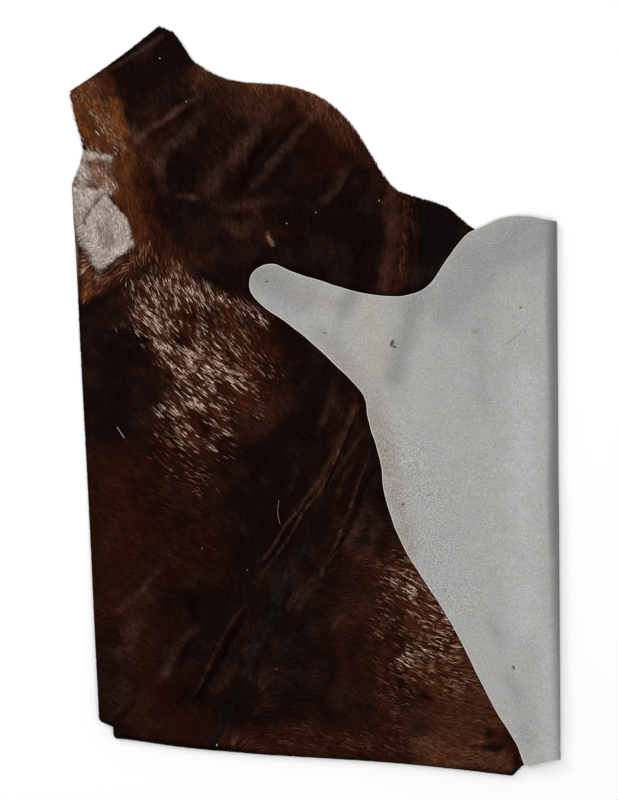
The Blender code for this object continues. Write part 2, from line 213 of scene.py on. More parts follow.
# How far locks turn off their lay, in degrees: each alone, more on fur, and many together
OWN_TURN, FUR_TURN = 3.5, 10.5
SWAY, SWAY_SIZE, SWAY_SEED = 4.0, 0.016, 25
# Length: least and most, factors for dark and pale hair, and shares lost in creases and on fur
LENGTHS = (0.65, 1.35)
DARK_LENGTH, PALE_LENGTH = 0.62, 0.38
CREASE_LOSS, FUR_LOSS, FINE_GAIN = 0.55, 0.55, 0.14
CREASED_FROM, CREASED_SPAN = 0.08, 0.15
EDGE_OVERHANG = (0.0012, 0.0032)
BEND_TURN = 0.3 * np.pi
BEND_LENGTH = 0.40
LEAST_LENGTH = 0.004
# Which locks are pale: how much fur calms the streaks, the weights of streaks, clumps and chance,
# how softly paleness ends, and how much of it is blended instead where the pale hair is dim
FUR_CALM = 0.75
CONTRAST, STREAK_WEIGHT, CLUMP_WEIGHT, CHANCE_WEIGHT = 1.4, 0.46, 0.32, 0.80
PALE_END, PALE_SOFTNESS = 1.7, 1.3
BLENDED, BLENDED_STREAK, BLENDED_TONES = 0.25, 0.4, (0.2, 2.0)
# A lock's shape: lift at root, middle and tip, roll and curl in degrees, and width
ROOT_LIFT, MIDDLE_LIFTS, TIP_LIFTS = 0.0004, (0.45, 1.0), (0.1, 1.5)
TUCKED_LIFT = 0.0009
MOST_ROLL, CURL = 28.0, 3.0
WIDTHS = (0.8, 1.2)
DARK_WIDTH, FINE_NARROWER, PALE_WIDER = 1.05, 0.42, 0.12
ROOT_NARROWER = 0.75
NEXT_PLACE = 0.001
# A lock's colour: factors from root to tip, streaks, chance, and shade under the flap and in bends
SHADES = (0.6, 1.0, 1.15)
GROUND_CLUMPS, GROUND_STREAKS, GROUND_LEVEL = 0.30, 0.45, -0.24
TONE_STREAKS, TONE_CHANCE, PALE_CHANCE, FUR_CHANCE = 0.10, 0.22, 0.06, 0.08
TONES = (0.35, 1.8)
TUCK_DARK, TUCK_LIGHT, TUCK_SHADE_REACH = 0.45, 0.55, 0.007
BEND_SHADE = 0.75
GLEAM, GLEAM_STREAKS, GLEAM_CHANCE, GLEAMS = 0.90, 0.28, 0.28, (0.1, 2.0)
UNDERFUR_TONE = 0.6
# The corners of a lock, two at its root and its middle and one at its tip, its triangles, and its
# corners' places in its cell of the picture plane
LOCK_CORNERS = 5
LOCK_FACES = ((0, 1, 2), (2, 1, 3), (2, 3, 4))
LOCK_CELL = ((0.1, 0.1), (0.9, 0.1), (0.1, 0.9), (0.9, 0.9), (0.5, 1.75))

# The underfur's specks and bumps, and the mottling of the cut edge and how much darker it gets
FUR_SPECKS, FUR_BUMPS = 0.003, 0.0015
EDGE_MOTTLE, EDGE_DARKER = 0.006, 0.85

# The suede: size and ranges of its fine and coarse grain, its blotches as size, least and most,
# and the size and colours of its changes in warmth
GRAIN_SIZE = 0.0029
FINE_TONES = (0.80, 1.18)
COARSE_TONES = (0.44, 1.50)
BLOTCHES = ((0.0024, 0.80, 1.17), (0.010, 0.97, 1.025), (0.026, 0.975, 1.02), (0.070, 0.975, 1.02))
WARMTH_SIZE = 0.032
WARM, COOL = (1.012, 1.0, 0.978), (0.988, 1.0, 1.012)
# Where a noise has most of its values, and where a mark and the coarse grain start and end to fade
NOISE_MIDDLE = (0.3, 0.7)
MARK_FADE = (0.5, 1.25)
GRAIN_FADE = (0.3, 1.4)

# The picture plane of the sheet: each side's width on it, margins, and the cut edge's cells
SIDE_WIDTH, PLANE_MARGIN, CELLS_LOW, CELLS_WIDTH = 0.48, 0.01, 0.70, 0.98
CELL_PITCH, CELL_FILL = 1.2, 0.8

# The picture: the place on the floor under the lens, the sensor's height, the floor's level, and
# the lamps' names, sizes and places
AIM = (-0.015, 0.003)
SENSOR = 36.0
FLOOR_LEVEL = -0.001
LAMPS = (("overhead", 4.0, (0.0, 0.0, 5.0)), ("side", 1.6, (-3.0, 2.2, 3.6)))


def in_metres(value):
    """A length in millimetres, or a row or path of them, in metres."""
    if isinstance(value, tuple):
        return tuple(in_metres(part) for part in value)
    return None if value is None else round(value / 1000.0, 6)


def in_rows(kind, lengths, rows):
    """Each row as this kind, with its first values, which are lengths, turned into metres."""
    return [kind(*in_metres(row[:lengths]), *row[lengths:]) for row in rows]


# A crease in the coat: path, half width, height (down if below 0), and sheen: painted highlight on
# the hair where above 0, painted shade where below 0
Crease = namedtuple("Crease", "path width height sheen")

CREASES = in_rows(Crease, 3, (
    # thigh
    (((-246, 681), (-264, 666), (-317, 628), (-365, 597), (-396, 571)), 11, 3, 0.42),
    (((-277, 644), (-334, 593), (-383, 553)), 8, -1.5, -0.4),
    (((-249, 624), (-282, 593), (-330, 547), (-348, 514), (-332, 465)), 20, 2, 0.36),
    (((-409, 602), (-383, 562), (-365, 518)), 20, 1, 0.3),
    # rump
    (((-119, 637), (-136, 602), (-158, 567), (-185, 527), (-220, 492), (-251, 465)), 24, 2.5, 0.28),
    (((-86, 597), (-123, 558), (-145, 523), (-161, 472)), 14, -1.5, -0.4),
    (((18, 650), (-26, 611), (-57, 567), (-97, 523), (-123, 487), (-156, 459)), 15, 3.5, 0.42),
    (((-35, 624), (-70, 575), (-101, 538)), 6, -1.5, -0.4),
    (((73, 516), (46, 472), (26, 443), (-9, 430)), 20, 1, 0.22),
    (((86, 509), (59, 465), (40, 435)), 6, -1, -0.35),
    # hip
    (((-308, 452), (-262, 448)), 10, 1.5, 0.42),
    (((-211, 426), (-145, 435), (-88, 448)), 20, 1, 0.12),
    (((-207, 391), (-167, 377), (-132, 395)), 22, 1, 0.14),
    # leg fold
    (((-458, 729), (-396, 767), (-334, 804)), 7, 1.5, 0.34),
    # thigh
    (((-253, 716), (-271, 685)), 11, 1.5, 0.18),
    # rump
    (((-207, 668), (-119, 637)), 30, 1, 0.14),
    # thigh
    (((-436, 716), (-418, 641)), 2, 0.6, -0.45),
    # loin
    (((40, 34), (31, -1), (11, -50), (2, -72)), 14, 1.5, 0.2),
    (((90, -6), (75, -50), (57, -91), (37, -140), (7, -206), (-24, -232), (-40, -265), (-66, -311),
      (-106, -360), (-130, -397)), 3, 3.5, 0.44),
    (((88, -1), (66, -58), (31, -133), (-9, -190)), 10, 1, 0.16),
    (((2, -179), (-35, -232), (-51, -254), (-66, -267), (-77, -289), (-95, -320), (-112, -342),
      (-134, -353)), 2.8, 3, 0.42),
    (((13, -168), (-22, -212), (-53, -248)), 8, 1, 0.18),
    (((-44, -254), (-62, -292), (-86, -331), (-112, -362)), 2.8, -1.2, -0.6),
    (((79, -50), (64, -85), (46, -124), (35, -157), (13, -199)), 3.6, -1.2, -0.6),
    (((106, -67), (77, -107), (53, -144), (31, -179)), 6, 1, 0.16),
    (((121, -105), (108, -146), (92, -179), (75, -239), (59, -267), (51, -300), (31, -336),
      (13, -382)), 3, 3, 0.4),
    (((134, -146), (110, -175), (92, -223), (77, -276), (62, -298), (37, -333)), 5, -1.5, -0.6),
    (((114, -204), (97, -261), (64, -322)), 20, 1, 0.26),
    (((84, -129), (55, -179), (37, -234)), 10, 1, 0.16),
    (((15, -364), (11, -386)), 5, 1, 0.45),
    (((31, -349), (53, -316)), 6, 0.5, 0.25),
    (((-42, -127), (-46, -162), (-62, -197)), 12, 1, 0.12),
    (((119, -239), (136, -283), (114, -322)), 18, 0.5, 0.2),
    # back
    (((-136, -432), (-161, -454), (-183, -479), (-202, -514), (-224, -558), (-246, -604),
      (-266, -644)), 4, 3.5, 0.26),
    (((-154, -463), (-172, -496), (-194, -536), (-220, -586), (-244, -630), (-266, -661)),
      8, -1.8, -0.75),
    (((-141, -516), (-176, -584), (-220, -644)), 15, 1.5, 0.08),
    (((-33, -481), (-46, -531)), 6, -1.5, -0.35),
    (((-7, -386), (-51, -430), (-66, -465)), 15, 1.5, 0.22),
    (((-7, -494), (-4, -501)), 7, 1, 0.3),
    (((4, -399), (-22, -428), (-44, -463)), 12, 1, 0.16),
    (((-123, -703), (-134, -738)), 4, -1, -0.5),
    (((-121, -597), (-106, -670)), 15, 1, 0.14),
    (((70, -461), (48, -481), (31, -507)), 7, 0.5, 0.26),
    # flank
    (((-339, -362), (-381, -410), (-438, -463)), 15, 1, 0.22),
    (((-365, -415), (-414, -525), (-422, -635)), 30, 0.5, 0.16),
    (((-253, -485), (-297, -525), (-343, -615)), 15, 1.5, 0.26),
    (((-326, -437), (-321, -472)), 13, -1, -0.3),
    (((-277, -424), (-264, -481)), 15, -1, -0.35),
    (((-295, -586), (-277, -525)), 11, -1, -0.25),
    # corner
    (((-440, -707), (-418, -683), (-396, -661)), 6, -1.8, -0.5),
    (((-449, -692), (-422, -666)), 6, 1, 0.16),
    # back
    (((-253, -320), (-249, -322)), 8, -1.5, -0.6),
    # pale patch
    (((-466, 454), (-486, 437), (-503, 413), (-515, 388)), 4.2, -1.2, -0.5),
    (((-460, 424), (-449, 408)), 1.6, 0.3, -0.55),
    (((-510, 555), (-484, 554), (-462, 547), (-436, 536)), 2.8, -1, -0.75),
))

# A patch of the coat: path or outline, reach and softness of its edge, colour of the dark hairs,
# colour of the pale hairs and their share. A patch without a reach fills its outline.
Patch = namedtuple("Patch", "path reach soft dark pale share")

# Patches whose pale hairs take the grey-brown sheen colour paint a sheen of light over the coat
BASE_COAT = ("umber", "ash", 0.30)
COAT_PATCHES = in_rows(Patch, 3, (
    # rump
    (((-90, 637), (13, 571), (35, 527)), 30, 70, "chestnut", "ash", 0.35),
    # leg
    (((-400, 747), (-348, 756), (-330, 694)), 30, 60, "umber", "dusk", 0.3),
    # rump's painted sheen
    (((-229, 668), (-167, 650), (-106, 624)), 26, 60, "chestnut", "dusk", 0.62),
    (((-141, 597), (-180, 531), (-240, 474)), 10, 40, "chestnut", "dusk", 0.8),
    # thigh
    (((-255, 674), (-200, 597), (-222, 509)), 30, 70, "umber", "dusk", 0.52),
    # thigh's painted sheen
    (((-317, 619), (-348, 589), (-365, 531)), 22, 50, "chestnut", "dusk", 0.45),
    (((-356, 628), (-383, 575), (-374, 536)), 10, 40, "chestnut", "russet", 0.42),
    # hip
    (((-198, 430), (-119, 430), (-132, 369), (-189, 395)), 14, 40, "chestnut", "dusk", 0.5),
    # hollow
    (((-57, 333), (31, 307), (75, 276), (97, 364)), 30, 60, "umber", "ash", 0.05),
    # left flank
    (((-449, -217), (-431, -437), (-420, -569)), 100, 120, "chestnut", "bay", 0.4),
    # lower left
    (((-449, -525), (-442, -657)), 40, 60, "umber", "dusk", 0.34),
    # lower flank
    (((-387, -690), (-255, -734)), 50, 80, "chestnut", "dusk", 0.2),
    # under the roan
    (((-343, -195), (-288, -316)), 80, 90, "chestnut", "russet", 0.1),
    # loin
    (((75, -41), (42, -217), (13, -349)), 50, 70, "umber", "bay", 0.34),
    # beside the spine
    (((-119, -415), (-167, -503), (-222, -635)), 26, 60, "umber", "dusk", 0.36),
    (((44, -305), (-9, -415), (-66, -547), (-119, -657)), 26, 60, "umber", "dusk", 0.32),
    # right back
    (((53, -437), (66, -547), (62, -657)), 20, 70, "chestnut", "dusk", 0.46),
    (((141, -371), (150, -525), (167, -679)), 52, 80, "chestnut", "russet", 0.48),
    (((207, -459), (273, -591), (350, -723)), 80, 100, "bay", "russet", 0.5),
    # bottom
    (((-167, -756), (31, -734), (229, -771)), 40, 60, "chestnut", "russet", 0.46),
    (((251, -771), (405, -789)), 34, 50, "bay", "russet", 0.8),
    # roan's ground
    (((-332, 223), (-255, 113), (-224, 25), (-255, -63)), 80, 80, "chestnut", "russet", 0.42),
    (((-167, 179), (-123, 91), (-132, -8)), 40, 70, "chestnut", "russet", 0.5),
    # roan
    (((-330, 219), (-268, 124), (-238, 36), (-251, -52)), 64, 50, "bay", "fawn", 0.4),
    (((-189, 171), (-150, 96), (-158, 21)), 26, 44, "bay", "tan", 0.4),
    (((-308, 311), (-299, 259)), 18, 28, "bay", "tan", 0.75),
    (((-326, 263), (-286, 252), (-264, 237)), 14, 22, "bay", "fawn", 0.66),
    (((-414, 254), (-383, 232)), 8, 24, "chestnut", "fawn", 0.26),
    (((-361, 241), (-337, 201)), 10, 20, "chestnut", "fawn", 0.62),
    (((-242, 237), (-207, 221), (-158, 199), (-119, 173)), 12, 26, "bay", "fawn", 0.48),
    (((-436, 162), (-396, 142), (-361, 122)), 9, 22, "umber", "fawn", 0.3),
    (((-376, 197), (-332, 157)), 20, 30, "bay", "fawn", 0.52),
    (((-348, 124), (-317, 98), (-295, 74)), 13, 24, "bay", "fawn", 0.72),
    (((-264, 157), (-207, 131), (-176, 109)), 14, 30, "bay", "fawn", 0.4),
    (((-255, 102), (-216, 78), (-176, 38)), 20, 36, "bay", "fawn", 0.74),
    (((-299, 65), (-264, 34)), 16, 26, "bay", "fawn", 0.64),
    (((-264, -1), (-242, -23)), 10, 20, "bay", "fawn", 0.7),
    (((-238, 34), (-207, 12)), 10, 22, "bay", "fawn", 0.62),
    (((-202, 25), (-145, -14)), 18, 36, "bay", "fawn", 0.16),
    (((-334, -19), (-308, -50)), 18, 30, "chestnut", "fawn", 0.44),
    (((-260, -36), (-224, -76), (-189, -120)), 18, 36, "chestnut", "fawn", 0.18),
    (((-343, -85), (-288, -151), (-233, -199)), 26, 50, "chestnut", "tan", 0.34),
    (((-119, 83), (-88, 52)), 10, 24, "chestnut", "fawn", 0.26),
    # gap in the roan
    (((-295, 193), (-268, 179)), 8, 18, "chestnut", "russet", 0.2),
    (((-299, 135), (-273, 127)), 8, 18, "chestnut", "russet", 0.2),
    (((-238, 179), (-211, 166)), 6, 18, "chestnut", "russet", 0.3),
    # glow
    (((-409, 575), (-400, 487), (-374, 373), (-326, 307)), 20, 60, "chestnut", "amber", 0.6),
    (((-374, 338), (-343, 294)), 12, 30, "bay", "tan", 0.3),
    (((-365, 366), (-310, 322), (-244, 307)), 14, 40, "chestnut", "russet", 0.3),
    # shin
    (((-466, 721), (-447, 659), (-433, 586), (-422, 520)), 12, 40, "bay", "amber", 0.55),
    (((-451, 646), (-433, 597), (-429, 531), (-418, 443)), 12, 40, "amber", "tan", 0.4),
    (((-519, 690), (-493, 637), (-471, 558)), 36, 34, "rust", "tan", 0.52),
    (((-497, 611), (-466, 584), (-440, 558)), 22, 34, "rust", "tan", 0.85),
    (((-524, 637), (-493, 580), (-458, 553)), 24, 34, "rust", "white", 0.18),
    # round the pale patch
    (((-440, 527), (-427, 461), (-396, 395), (-387, 333)), 16, 34, "bay", "amber", 0.76),
    # pale patch, top
    (((-559, 514), (-550, 479), (-510, 487), (-480, 514), (-458, 474)),
      20, 22, "russet", "white", 0.78),
    (((-559, 531), (-524, 518), (-510, 492)), 14, 22, "cream", "white", 0.7),
    (((-515, 542), (-458, 538)), 9, 12, "cream", "white", 0.7),
    # pale patch
    (((-563, 479), (-493, 472), (-473, 468), (-455, 450), (-436, 426), (-418, 406), (-409, 382),
      (-398, 342), (-418, 329), (-447, 307), (-473, 285), (-493, 307), (-510, 340), (-521, 364),
      (-563, 364)), None, 6, "cream", "white", 0.8),
    # pale patch's fold
    (((-541, 443), (-519, 426), (-528, 395)), 8, 16, "cream", "white", 0.5),
    # painted shade: a thin dark line along the fold
    (((-464, 463), (-486, 437), (-502, 415), (-510, 395)), 1.4, 5, "rust", "tan", 0.5),
    # pale patch's middle
    (((-471, 382), (-453, 355)), 10, 30, "fur_grey", "cream", 0.75),
    # whorl
    (((-559, 355), (-532, 329), (-510, 294), (-497, 254), (-502, 228)),
      18, 24, "rust", "fawn", 0.46),
    (((-480, 254), (-440, 285), (-383, 311)), 20, 30, "bay", "tan", 0.62),
    (((-546, 197), (-484, 219), (-436, 237)), 10, 20, "umber", "rust", 0.14),
    # rump's rim
    (((-242, 721), (-167, 703), (-101, 699)), 22, 50, "bay", "russet", 0.55),
    (((-101, 699), (-22, 685), (42, 641), (88, 580)), 30, 56, "bay", "russet", 0.6),
    (((-128, 703), (-70, 699), (-18, 688), (22, 663)), 12, 30, "rust", "tan", 0.85),
    (((22, 663), (53, 633), (84, 593)), 8, 30, "bay", "russet", 0.6),
    (((88, 580), (132, 509), (167, 461)), 10, 36, "chestnut", "russet", 0.34),
    # halo
    (((-106, 373), (-57, 369)), 6, 18, "chestnut", "amber", 0.2),
    # tuft
    (((-106, 366), (-97, 349)), 3, 9, "tan", "white", 0.55),
    # beside the tail
    (((167, 465), (165, 355), (145, 228)), 12, 26, "bay", "dusk", 0.6),
    (((196, 465), (194, 355), (180, 228)), 10, 16, "chestnut", "russet", 0.45),
    (((218, 457), (213, 355), (200, 232)), 8, 14, "umber", "russet", 0.3),
    # tail
    (((224, 457), (348, 369), (295, 307), (238, 223), (216, 228), (229, 355)),
      None, 14, "black", "ash", 0.06),
    # beside the flap
    (((321, 360), (286, 320), (260, 276)), 4, 14, "black", "rust", 0.34),
    # roan
    (((172, -428), (163, -503), (189, -635)), 30, 60, "chestnut", "tan", 0.26),
    (((185, -362), (224, -424), (277, -481), (308, -547), (321, -613)), 34, 60, "bay", "tan", 0.6),
    (((180, -397), (211, -424), (242, -446), (282, -472)), 20, 50, "bay", "fawn", 0.46),
    (((176, -349), (216, -380)), 8, 24, "bay", "fawn", 0.18),
    (((132, -468), (154, -481)), 6, 20, "bay", "fawn", 0.1),
    (((286, -516), (321, -538)), 14, 30, "bay", "fawn", 0.38),
    (((194, -569), (224, -547), (268, -542)), 22, 36, "bay", "fawn", 0.44),
    (((229, -595), (277, -613)), 20, 36, "bay", "tan", 0.5),
    # dark spot
    (((178, -461), (183, -465)), 6, 14, "umber", "rust", 0.1),
    (((238, -650), (246, -655)), 6, 20, "umber", "rust", 0.14),
    (((374, -725), (383, -734)), 8, 20, "umber", "rust", 0.14),
    (((348, -758), (405, -762)), 6, 18, "umber", "rust", 0.14),
    (((438, -767), (442, -793)), 6, 12, "umber", "rust", 0.1),
    # nap: painted golden highlight along the loin's ridges
    (((88, -6), (57, -80), (26, -142), (0, -195)), 5, 18, "chestnut", "amber", 0.34),
    (((106, -67), (75, -109), (48, -151)), 4, 16, "chestnut", "amber", 0.3),
    (((90, -10), (84, -23)), 3, 8, "bay", "tan", 0.5),
    (((11, -197), (4, -206)), 2, 6, "bay", "tan", 0.45),
    # spine
    (((119, 3), (64, -120), (-9, -283)), 6, 30, "umber", "slate", 0.26),
    (((-22, -294), (-62, -382), (-106, -492), (-167, -635), (-224, -749)),
      10, 36, "black", "slate", 0.5),
    # spine's grey
    (((-62, -375), (-88, -428)), 8, 20, "black", "slate", 0.85),
    (((-132, -525), (-154, -595)), 10, 20, "umber", "slate", 0.85),
    # spine's dark
    (((48, -151), (13, -217), (-13, -278)), 4, 20, "black", "slate", 0.12),
    (((-26, -305), (-40, -340)), 6, 16, "black", "slate", 0.12),
    (((-101, -446), (-114, -485)), 6, 16, "black", "slate", 0.12),
    (((-167, -613), (-185, -652)), 6, 16, "black", "slate", 0.12),
))

# A band of the suede: path, reach and softness of its edge, and colour
Tint = namedtuple("Tint", "path reach soft colour")

SUEDE_TINTS = in_rows(Tint, 3, (
    # hind leg
    (((-88, 250), (-35, 228)), 36, 70, "cool_suede"),
    # toe
    (((-132, 276), (-88, 259)), 24, 60, "grey_suede"),
    # shin
    (((-44, 232), (0, 219), (44, 215)), 10, 44, "dun_suede"),
    (((4, 149), (66, 74)), 14, 50, "dun_suede"),
    # throat's light
    (((110, 210), (123, 146), (136, 78)), 34, 44, "warm_suede"),
    # throat
    (((86, 43), (110, 3), (132, -63), (158, -173)), 24, 56, "dun_suede"),
    # band: painted shade, soft grey bands on the suede
    (((79, 250), (66, 197)), 14, 40, "grey_suede"),
    (((57, 184), (46, 113)), 8, 40, "cool_suede"),
    (((220, 228), (205, 179), (189, 124), (169, 47)), 22, 60, "grey_suede"),
    # shoulder
    (((299, 223), (356, 307), (431, 351), (493, 364)), 60, 100, "cool_suede"),
    # side
    (((361, 157), (370, 3)), 6, 80, "cool_suede"),
    # waist
    (((150, -63), (176, -217), (207, -327)), 14, 44, "dun_suede"),
    # pale band
    (((458, 47), (453, -217), (462, -481)), 34, 60, "pale_suede"),
    # foot
    (((506, -525), (510, -756)), 16, 40, "pale_suede"),
    # smudge
    (((383, -476), (405, -534)), 4, 40, "cool_suede"),
    (((422, -604), (458, -666), (462, -745)), 10, 50, "cool_suede"),
))

# A small mark on the suede: centre, length, width, turn in degrees, strength and colour
Mark = namedtuple("Mark", "x y length width turn strength colour")

SUEDE_MARKS = in_rows(Mark, 4, (
    # turned edge: painted shade where the flesh side turns down over the fold
    (537, 0, 1800, 62, 90.4, 0.8, "dark_suede"),
    # shade
    (515, 223, 260, 30, 90.4, 0.3, "dark_suede"),
    (517, -217, 240, 26, 90.4, 0.3, "dark_suede"),
    (407, 344, 40, 26, 40, 0.35, "grey_suede"),
    # crescent
    (167, 128, 19, 7.2, 66, 0.95, "scar"),
    (172, 120, 15, 5.2, -14, 0.85, "scar"),
    (171, 127, 11, 11, 0, 0.25, "scar"),
    # spot
    (191, -226, 9.5, 7.2, 30, 0.85, "rust_spot"),
    (433, -583, 11.5, 8.2, -60, 0.9, "rust_spot"),
    (449, 206, 6.6, 5, 0, 0.8, "scar"),
    (392, -100, 4, 4, 0, 0.6, "scar"),
    (-108, 263, 5, 5, 0, 0.9, "scar"),
    (19, 150, 15, 5.6, -28, 0.45, "scar"),
    # speckle
    (-18, 250, 7, 5, 10, 0.35, "rust_spot"),
    (-7, 245, 6, 5, 60, 0.4, "rust_spot"),
    (0, 237, 7, 5, 40, 0.35, "rust_spot"),
    # smudge
    (350, 154, 22, 13, 15, 0.25, "rust_spot"),
    # scratch
    (433, 137, 64, 3, 40, 0.32, "scar"),
    (458, 153, 10, 3, -70, 0.32, "scar"),
    # arc
    (354, 360, 44, 3.2, -30, 0.45, "pale_suede"),
    (392, 348, 30, 3.2, 10, 0.45, "pale_suede"),
    (416, 364, 30, 3.2, 62, 0.45, "pale_suede"),
    (426, 386, 26, 3.2, 76, 0.4, "pale_suede"),
))

# Where the suede's grain is coarse
COARSE_GRAIN = Mark(0.211, -0.261, 0.5600, 0.2400, -62, 1.00, None)

# The way the hair lies at a place, in degrees from X, root to tip
Lay = namedtuple("Lay", "x y heading")

LAYS = in_rows(Lay, 2, (
    (-486, 641, 122), (-453, 586, 122), (-497, 553, 125), (-409, 663, 112), (-365, 707, 115),
    (-299, 751, 120), (-365, 597, 105), (-464, 487, 128), (-427, 498, 115), (-431, 399, 125),
    (-387, 395, 70), (-396, 344, 75), (-354, 443, 90), (-317, 377, 92), (-343, 307, 98),
    (-295, 294, 106), (-255, 223, 118), (-332, 223, 118), (-365, 179, 134), (-365, 124, 135),
    (-277, 135, 134), (-189, 179, 126), (-123, 113, 136), (-211, 47, 142), (-145, 3, 146),
    (-277, -41, 140), (-409, 3, 130), (-453, 124, 126), (-189, -85, 147), (-255, -173, 150),
    (-365, -217, 148), (-387, -349, 150), (-255, -349, 153), (-431, -481, 150), (-343, -613, 150),
    (-475, 377, 110), (-486, 443, 120), (-510, 327, 10), (-510, 305, 30), (-502, 276, 45),
    (-486, 250, 52), (-453, 285, 42), (-429, 298, 25), (-400, 294, 80), (-387, 265, 130),
    (-475, 223, 40), (-508, 197, 70), (-431, 212, 85), (106, -19, 66), (64, -111, 66),
    (9, -239, 66), (-57, -388, 66), (-119, -525, 66), (-176, -652, 66), (-220, -749, 66),
    (-35, -173, 118), (-68, -283, 115), (-123, -382, 118), (-194, -525, 120), (-249, -657, 122),
    (75, -261, 20), (9, -404, 15), (-51, -558, 10), (-112, -705, 5), (141, -305, -10),
    (152, -415, -30), (194, -437, -38), (251, -452, -22), (273, -485, -16), (308, -529, 6),
    (264, -542, -20), (211, -573, -30), (339, -635, -20), (229, -635, -25), (130, -547, -34),
    (75, -657, -36), (185, -745, -25), (361, -723, -10), (418, -778, 42), (-35, -756, -20),
    (31, -481, -5), (-35, 223, 120), (31, 91, 112), (53, 333, 105), (-57, 443, 110),
    (-145, 531, 110), (-211, 619, 115), (-35, 641, 105), (-119, 674, 112), (53, 553, 100),
    (123, 432, 95), (185, 355, 88), (218, 410, 88), (211, 278, 80), (273, 333, 60), (306, 377, 45),
    (-35, -41, 138), (4, -118, 126), (53, 3, 100),
))

# A white flake or hair caught in the coat: place, length, width and turn in degrees
Flake = namedtuple("Flake", "x y length width turn")

FLAKES = in_rows(Flake, 4, (
    (0, 415, 2.6, 1.5, 20), (-64, 391, 3.6, 1.4, 130), (-343, 754, 4, 1.4, 120),
    (-284, 657, 3.2, 1.5, 80), (139, 441, 5.2, 1.5, 115), (-249, -322, 2, 1.4, 0),
    (-150, -369, 1.8, 1.4, 0), (-86, -586, 2, 1.3, 0), (-216, -747, 5.8, 1.7, 70),
    (-438, 544, 5, 1.5, 95),
))
FLAKE_THICKNESS = 0.0006
FLAKE_MOTTLE = 0.002
FLAKE_DARK, FLAKE_PALE = (0.42, 0.38, 0.34), (0.72, 0.70, 0.67)
BITS_LIFT = 1.2

# A stray hair and a thread that lie on the coat
Strand = namedtuple("Strand", "path width name")

STRANDS = in_rows(Strand, 2, (
    (((-436, -56), (-429, -67), (-420, -80)), 1, "stray_hair"),
    (((-81, -217), (-83, -232), (-84, -245), (-81, -256), (-79, -267)), 0.4, "thread"),
))

# The coat is made in bands, from the leg down, so that no band has too many faces
COAT_BANDS = ("coat_leg", "coat_rump", "coat_flank", "coat_loin", "coat_back")


def screen(red, green, blue):
    """A colour as it looks on a screen, 0 to 255, turned into the light it sends back."""
    value = np.array([red, green, blue]) / 255.0
    light = np.where(value <= 0.04045, value / 12.92, ((value + 0.055) / 1.055) ** 2.4)
    return tuple(float(part) for part in light)


def colour_property(name, description, colour):
    return bpy.props.FloatVectorProperty(
        name=name, description=description, default=colour, min=0.0, max=1.0, subtype="COLOR"
    )


def screen_colour(name, description, *colour):
    return colour_property(name, description, screen(*colour))


def length_property(name, description, default):
    return bpy.props.FloatProperty(
        name=name, description=description, default=default, min=0.0, unit="LENGTH"
    )


def power_property(name, description, default):
    return bpy.props.FloatProperty(
        name=name, description=description, default=default, unit="POWER"
    )


class HideSettings(bpy.types.PropertyGroup):
    """The leather sheet and its suede side."""

    relief: bpy.props.FloatProperty(
        name="Relief",
        description="How strongly the creases show",
        default=1.0,
        min=0.0,
        max=1.5,
        subtype="FACTOR",
    )
    unevenness: length_property("Unevenness", "How far the cut edge strays from a line", 0.0007)
    suede: screen_colour("Suede", "Most of the flesh side", 163, 162, 160)
    cool_suede: screen_colour("Cool suede", "The flesh side on the hind leg", 146, 146, 145)
    dun_suede: screen_colour("Dun suede", "The flesh side beside the waist", 151, 145, 139)
    # Used for the painted shade of the soft bands, for the shade by the flap's top, and for the toe
    grey_suede: screen_colour("Grey suede", "The soft grey bands", 138, 138, 136)
    warm_suede: screen_colour("Warm suede", "The warmer parts of the leg", 166, 161, 155)
    pale_suede: screen_colour("Pale suede", "The palest bands", 172, 171, 170)
    # Painted shade on the flesh side where it turns down over the fold, and beside it
    dark_suede: screen_colour("Dark suede", "The flesh side where it turns down", 100, 100, 103)
    cut_edge: screen_colour("Cut edge", "Leather where it was cut", 216, 206, 199)
    scar: screen_colour("Scar", "Small scars and scratches on the suede", 66, 60, 54)
    rust_spot: screen_colour("Rust spot", "Small brown spots on the suede", 112, 82, 64)


class CoatSettings(bpy.types.PropertyGroup):
    """The hair: its size, number and colours."""

    spacing: length_property("Spacing", "Distance from one lock to the next", 0.00165)
    length: length_property("Length", "Length of a lock", 0.019)
    width: length_property("Width", "Width of a lock", 0.0017)
    lift: length_property("Lift", "How far a lock stands off the skin", 0.0014)
    seed: bpy.props.IntProperty(
        name="Seed", description="Starts the random choices", default=7, min=0
    )
    umber: screen_colour("Umber", "The darkest brown of the back", 15, 4, 2)
    chestnut: screen_colour("Chestnut", "Dark red-brown", 32, 9, 3)
    bay: screen_colour("Bay", "Warmer red-brown", 50, 21, 9)
    rust: screen_colour("Rust", "Orange-brown", 88, 46, 21)
    russet: screen_colour("Russet", "Brown hairs that catch the light", 112, 74, 54)
    amber: screen_colour("Amber", "The warm glow beside the shin", 106, 55, 22)
    tan: screen_colour("Tan", "Hair round the pale patch", 146, 104, 77)
    fawn: screen_colour("Fawn", "Pale hairs of the roan", 228, 199, 181)
    cream: screen_colour("Cream", "The pale patch", 156, 143, 133)
    white: screen_colour("White", "The palest hairs", 202, 192, 183)
    fur_grey: screen_colour("Grey", "The middle of the pale patch", 126, 112, 101)
    ash: screen_colour("Ash", "Hairs that catch the light on the back", 31, 13, 9)
    # Painted sheen: a grey-brown haze of light laid over brown hair
    dusk: screen_colour("Dusk", "Brown hairs with a grey bloom", 58, 37, 31)
    # Painted highlight: the colour that the creases' sheen lays on the hair of a ridge
    glow: screen_colour("Glow", "The light on a ridge of the nap", 94, 66, 56)
    black: screen_colour("Black", "The tail and the line on the spine", 11, 7, 6)
    slate: screen_colour("Slate", "Paler hairs in the black line", 36, 27, 22)


